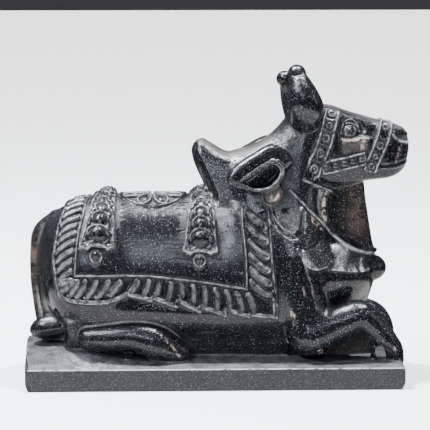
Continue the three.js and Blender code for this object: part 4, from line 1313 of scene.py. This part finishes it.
# Stone.
class Nodes:
    """Short calls for a material's nodes."""

    def __init__(self, tree):
        self.nodes, self.links = tree.nodes, tree.links

    def add(self, kind, inputs=(), **settings):
        node = self.nodes.new("ShaderNode" + kind)
        for name, value in settings.items():
            setattr(node, name, value)
        for socket, value in dict(inputs).items():
            if isinstance(value, bpy.types.NodeSocket):
                self.links.new(value, node.inputs[socket])
            else:
                node.inputs[socket].default_value = value
        return node

    def math(self, operation, a, b=0.0, more=0.0, clamp=False):
        return self.add("Math", {0: a, 1: b, 2: more}, operation=operation, use_clamp=clamp).outputs[0]

    def steps(self, value, low, high, start=0.0, end=1.0):
        inputs = {"Value": value, "From Min": low, "From Max": high, "To Min": start, "To Max": end}
        return self.add("MapRange", inputs, clamp=True, interpolation_type="SMOOTHSTEP").outputs[0]

    def mix(self, share, a, b):
        node = self.add("Mix", {"Factor": share}, data_type="RGBA")
        for socket, value in ((6, a), (7, b)):
            if isinstance(value, bpy.types.NodeSocket):
                self.links.new(value, node.inputs[socket])
            else:
                node.inputs[socket].default_value = (*value, 1)
        return node.outputs[2]

    def noise(self, at, size, detail=3.0, rough=0.5):
        inputs = {"Vector": at, "Scale": 1 / size, "Detail": detail, "Roughness": rough}
        return self.add("TexNoise", inputs).outputs["Fac"]

    def broken(self, mask, noise, *steps):
        """A mask broken up by a noise."""
        return self.math("MULTIPLY", mask, self.steps(noise, *steps))

    def mask(self, name):
        return self.add("Attribute", attribute_name=name).outputs["Fac"]


def grain(make, at, size, share, bright):
    """Mineral flecks: some of the cells of a crystal pattern, each with its own brightness."""
    cells = make.add("TexVoronoi", {"Vector": at, "Scale": 1 / size})
    chance = make.add("SeparateColor", {"Color": cells.outputs["Color"]})
    chosen = make.steps(chance.outputs[0], 1 - share, 1 - share + 0.03)
    core = make.steps(cells.outputs["Distance"], 0.42, 0.16)
    glow = make.math("MULTIPLY", make.math("POWER", chance.outputs[1], 2.0), bright)
    return make.math("MULTIPLY", make.math("MULTIPLY", chosen, core), glow)


def stone_masks(make, at):
    """The masks of the finishes, broken up by noise, and the noises themselves."""
    masks = {name: make.mask(name) for name in ("raw_and_shade", "patina_and_cheek_highlight", "bare", "weather")}
    masks["above"] = above_plinth(make, at)
    masks["fine"] = make.noise(at, 0.0011, 2.0, 0.6)
    masks["cloud"] = make.noise(at, 0.010, 4.0, 0.6)
    worn = make.math("MULTIPLY", make.mask("worn"), masks["above"])
    # Dust, and the painted sheen beside the second strap, broken up by a cloud noise.
    dust_and_sheen = make.math("MULTIPLY", make.mask("dust_and_sheen"), masks["above"])
    # Patina, with the painted highlight on the cheek, broken up by noise.
    masks["patches"] = make.broken(masks["patina_and_cheek_highlight"], make.noise(at, 0.014, 5.0, 0.65), 0.36, 0.62, 0.25, 1.0)
    masks["settled"] = make.broken(dust_and_sheen, masks["cloud"], 0.36, 0.64, 0.15, 1.0)
    # Worn arrises and lines, with the painted highlight on the leaves' crests, broken up by noise.
    masks["edges"] = make.broken(worn, make.noise(at, 0.005, 3.0, 0.6), 0.32, 0.60, 0.10, 0.72)
    # Bruises and painted highlight streaks, broken up by noise.
    masks["chipped"] = make.broken(masks["bare"], make.noise(at, 0.004, 4.0, 0.65), 0.43, 0.56)
    masks["arris"] = make.broken(plinth_arris(make, at), make.noise(at, 0.006, 4.0, 0.7), 0.36, 0.5)
    return masks


def stone_colour(make, at, masks):
    """From the black ground, over cuts and painted shade, patina and a painted cheek highlight, dust and a
    painted sheen, worn arrises and painted leaf highlights, to the flecks, the bruises and the painted
    highlight streaks.
    """
    fine, low = masks["fine"], make.steps(masks["fine"], 0.3, 0.7)
    ground = make.mix(make.steps(fine, 0.35, 0.75), (0.0015, 0.0017, 0.0022), (0.008, 0.0085, 0.010))
    # Raw stone in the cuts, and the painted shade on the undersides of the trunk's relief.
    base = make.mix(masks["raw_and_shade"], ground, make.mix(low, (0.003, 0.003, 0.003), (0.016, 0.015, 0.014)))
    sawn = make.mix(low, (0.008, 0.0085, 0.009), (0.028, 0.029, 0.030))
    base = make.mix(masks["above"], sawn, base)
    # Brown, for the patina and for the painted highlight on the cheek.
    brown = make.mix(make.steps(masks["cloud"], 0.3, 0.7), (0.012, 0.0085, 0.007), (0.070, 0.045, 0.034))
    base = make.mix(masks["patches"], base, brown)
    # Pale grey, for real dust and for the painted sheen beside the second strap.
    dust_and_sheen_grey = make.mix(make.steps(fine, 0.3, 0.75), (0.08, 0.084, 0.092), (0.36, 0.366, 0.38))
    base = make.mix(masks["settled"], base, dust_and_sheen_grey)
    # Pale grey on worn arrises and lines, which also paints the highlight on the leaves' crests.
    base = make.mix(masks["edges"], base, make.mix(low, (0.17, 0.167, 0.165), (0.54, 0.53, 0.525)))
    flecks = make.math("ADD", grain(make, at, 0.00095, 0.30, 0.42), grain(make, at, 0.0006, 0.42, 0.22))
    base = make.mix(make.math("MULTIPLY", flecks, 1.0, clamp=True), base, (0.60, 0.61, 0.63))
    # Pinkish bare stone on bruises, which also paints the highlights on the cheek's ledge, the neck's fold,
    # the shoulder, the muzzle and under the ear.
    base = make.mix(masks["chipped"], base, (0.38, 0.29, 0.24))
    return make.mix(masks["arris"], base, (0.42, 0.43, 0.45))


def stone_roughness(make, masks):
    """Polished where nothing dulls the stone, and a little less so where it faces the sky."""
    shine = make.add("Mix", {"Factor": masks["weather"], 2: 0.10, 3: 0.20}, data_type="FLOAT").outputs[0]
    shine = make.math("ADD", shine, make.steps(masks["fine"], 0.4, 0.8, 0.0, 0.06))
    dull = make.math("MAXIMUM", masks["raw_and_shade"], make.math("MULTIPLY", masks["settled"], 1.2))
    dull = make.math("MAXIMUM", dull, make.math("MULTIPLY", masks["patches"], 0.5))
    dull = make.math("MAXIMUM", dull, make.math("MULTIPLY", masks["edges"], 0.6), clamp=True)
    return make.add("Mix", {"Factor": dull, 2: shine, 3: 0.62}, data_type="FLOAT").outputs[0]


def stone_bumps(make, at, masks):
    """Coarse where the stone is raw, and faintly mottled where it faces the sky."""
    height = make.math("ADD", make.math("MULTIPLY", masks["fine"], 0.5), make.noise(at, 0.004, 4.0, 0.6))
    coarse = make.math("MULTIPLY", height, make.math("MULTIPLY_ADD", masks["raw_and_shade"], 0.0004, more=0.00002))
    mottle = make.math("MULTIPLY", make.math("MULTIPLY", masks["fine"], masks["weather"]), 0.00026)
    inputs = {"Strength": 1.0, "Distance": 1.0, "Height": make.math("ADD", coarse, mottle)}
    return make.add("Bump", inputs).outputs["Normal"]


def black_stone():
    """Black granite: polished on the full forms, raw in the cuts, with pale arrises, dust and patina, and
    painted highlights, sheen and shade in places.
    """
    material = bpy.data.materials.new("black_granite")
    material.use_nodes = True
    make = Nodes(material.node_tree)
    shader = make.nodes["Principled BSDF"]
    at = make.add("TexCoord").outputs["Object"]
    masks = stone_masks(make, at)
    make.links.new(stone_colour(make, at, masks), shader.inputs["Base Color"])
    make.links.new(stone_roughness(make, masks), shader.inputs["Roughness"])
    make.links.new(stone_bumps(make, at, masks), shader.inputs["Normal"])
    shader.inputs["IOR"].default_value = 1.55
    return material


def above_plinth(make, at):
    """A mask of all that lies over the plinth's upper edge."""
    height = make.add("SeparateXYZ", {"Vector": at}).outputs["Z"]
    edge = PLINTH["height"] * MILLIMETRE
    return make.steps(height, edge - 0.9 * MILLIMETRE, edge - 0.3 * MILLIMETRE)


def plinth_arris(make, at):
    """A mask along the upper edges of the plinth's two long sides."""
    place = make.add("SeparateXYZ", {"Vector": at})
    top = (PLINTH["height"] - 0.2) * MILLIMETRE
    front = (PLINTH["depth"] / 2 - 0.8) * MILLIMETRE
    level = make.steps(make.math("ABSOLUTE", make.math("SUBTRACT", place.outputs["Z"], top)),
                       0.9 * MILLIMETRE, 0.4 * MILLIMETRE)
    return make.math("MULTIPLY", level, make.steps(make.math("ABSOLUTE", place.outputs["Y"]), front,
                                                   front + 0.5 * MILLIMETRE))


# Camera, floor and light.
FOCAL_PIXELS, PICTURE_PIXELS = 2240.08, 430
CAMERA = {"at": (-0.062245, -1.8, 0.387270), "yaw": 2.0, "pitch": 8.0633}
# Each lamp: name, place, aim, size, power and colour. The first two aren't seen in the polish.
LAMPS = [
    ("overhead", (-0.15, 0.25, 1.5), (0, 0.1, 0), (1.3, 0.9), 16, (0.96, 0.98, 1.0)),
    ("behind", (0, 4.6, 2.6), (0, 4.6, 0), (12.0, 7.0), 700, (1, 1, 1)),
    ("sheen", (-0.35, -2.6, 1.05), (0, 0, 0.14), (0.9, 0.32), 20, (0.80, 0.88, 1.0)),
    ("strip", (-0.6, 0.0, 1.65), (0, 0, 0.1), (0.10, 0.05), 100, (0.90, 0.95, 1.0)),
    ("glint", (0.45, 0.0, 1.65), (0, 0, 0.1), (0.08, 0.05), 60, (0.90, 0.95, 1.0)),
    ("key", (-1.2, -1.0, 1.5), (0, 0, 0.14), (0.06, 0.06), 42, (0.92, 0.96, 1.0)),
    ("side", (1.5, -0.35, 0.5), (0, 0, 0.14), (0.25, 0.5), 1.5, (1.0, 0.93, 0.88)),
]
# Height of the way that is looked, from 0 straight down to 1 straight up, and the light from there.
SKY = [
    (0.0, 1.3, 1.3, 1.3), (0.26, 1.95, 1.95, 1.95), (0.305, 1.85, 1.85, 1.85), (0.341, 0.06, 0.06, 0.06),
    (0.56, 0.04, 0.04, 0.05), (0.63, 0.16, 0.18, 0.22), (0.69, 0.16, 0.18, 0.22), (0.78, 0.14, 0.15, 0.18),
    (0.92, 0.12, 0.13, 0.16), (1.0, 0.2, 0.22, 0.26),
]


def place_camera():
    data = bpy.data.cameras.new("camera")
    data.sensor_width = 36.0
    data.lens = data.sensor_width * FOCAL_PIXELS / PICTURE_PIXELS
    camera = bpy.data.objects.new("camera", data)
    camera.location = CAMERA["at"]
    yaw, pitch = math.radians(CAMERA["yaw"]), math.radians(CAMERA["pitch"])
    ahead = Vector((math.sin(yaw) * math.cos(pitch), math.cos(yaw) * math.cos(pitch), -math.sin(pitch)))
    camera.rotation_euler = ahead.to_track_quat("-Z", "Y").to_euler()
    bpy.context.scene.collection.objects.link(camera)
    bpy.context.scene.camera = camera


def area_light(name, at, aim, size, power, colour):
    data = bpy.data.lights.new(name, "AREA")
    data.shape = "RECTANGLE"
    data.size, data.size_y = size
    data.energy = power
    data.color = colour
    lamp = bpy.data.objects.new(name, data)
    lamp.location = at
    lamp.rotation_euler = (Vector(aim) - Vector(at)).to_track_quat("-Z", "Y").to_euler()
    bpy.context.scene.collection.objects.link(lamp)
    return lamp


def studio():
    bpy.ops.mesh.primitive_plane_add(size=12)
    floor = bpy.context.object
    floor.name = "floor"
    material = bpy.data.materials.new("floor")
    material.use_nodes = True
    shader = material.node_tree.nodes["Principled BSDF"]
    shader.inputs["Base Color"].default_value = (0.90, 0.91, 0.92, 1)
    shader.inputs["Roughness"].default_value = 0.8
    floor.data.materials.append(material)
    sky()
    floor.visible_glossy = False
    lamps = {lamp[0]: area_light(*lamp) for lamp in LAMPS}
    lamps["overhead"].visible_glossy = False
    lamps["behind"].visible_glossy = False
    lamps["behind"].data.spread = math.radians(100)


def sky():
    """Light that is pale below, dim round the horizon and bluish overhead."""
    world = bpy.data.worlds.new("sky")
    world.use_nodes = True
    make = Nodes(world.node_tree)
    way = make.add("SeparateXYZ", {"Vector": make.add("TexCoord").outputs["Generated"]})
    ramp = make.add("ValToRGB")
    height = make.math("MULTIPLY_ADD", way.outputs["Z"], 0.5, more=0.5)
    make.links.new(height, ramp.inputs["Fac"])
    elements = ramp.color_ramp.elements
    elements[0].position, elements[0].color = SKY[0][0], (*SKY[0][1:], 1)
    elements[1].position, elements[1].color = SKY[-1][0], (*SKY[-1][1:], 1)
    for place, *colour in SKY[1:-1]:
        elements.new(place).color = (*colour, 1)
    make.links.new(ramp.outputs["Color"], make.nodes["Background"].inputs["Color"])
    make.nodes["Background"].inputs["Strength"].default_value = 1.0
    bpy.context.scene.world = world


place_camera()
studio()
bull = sculpt()
bull.data.materials.append(black_stone())
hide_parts("nandi_bull")
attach(bull, "root")
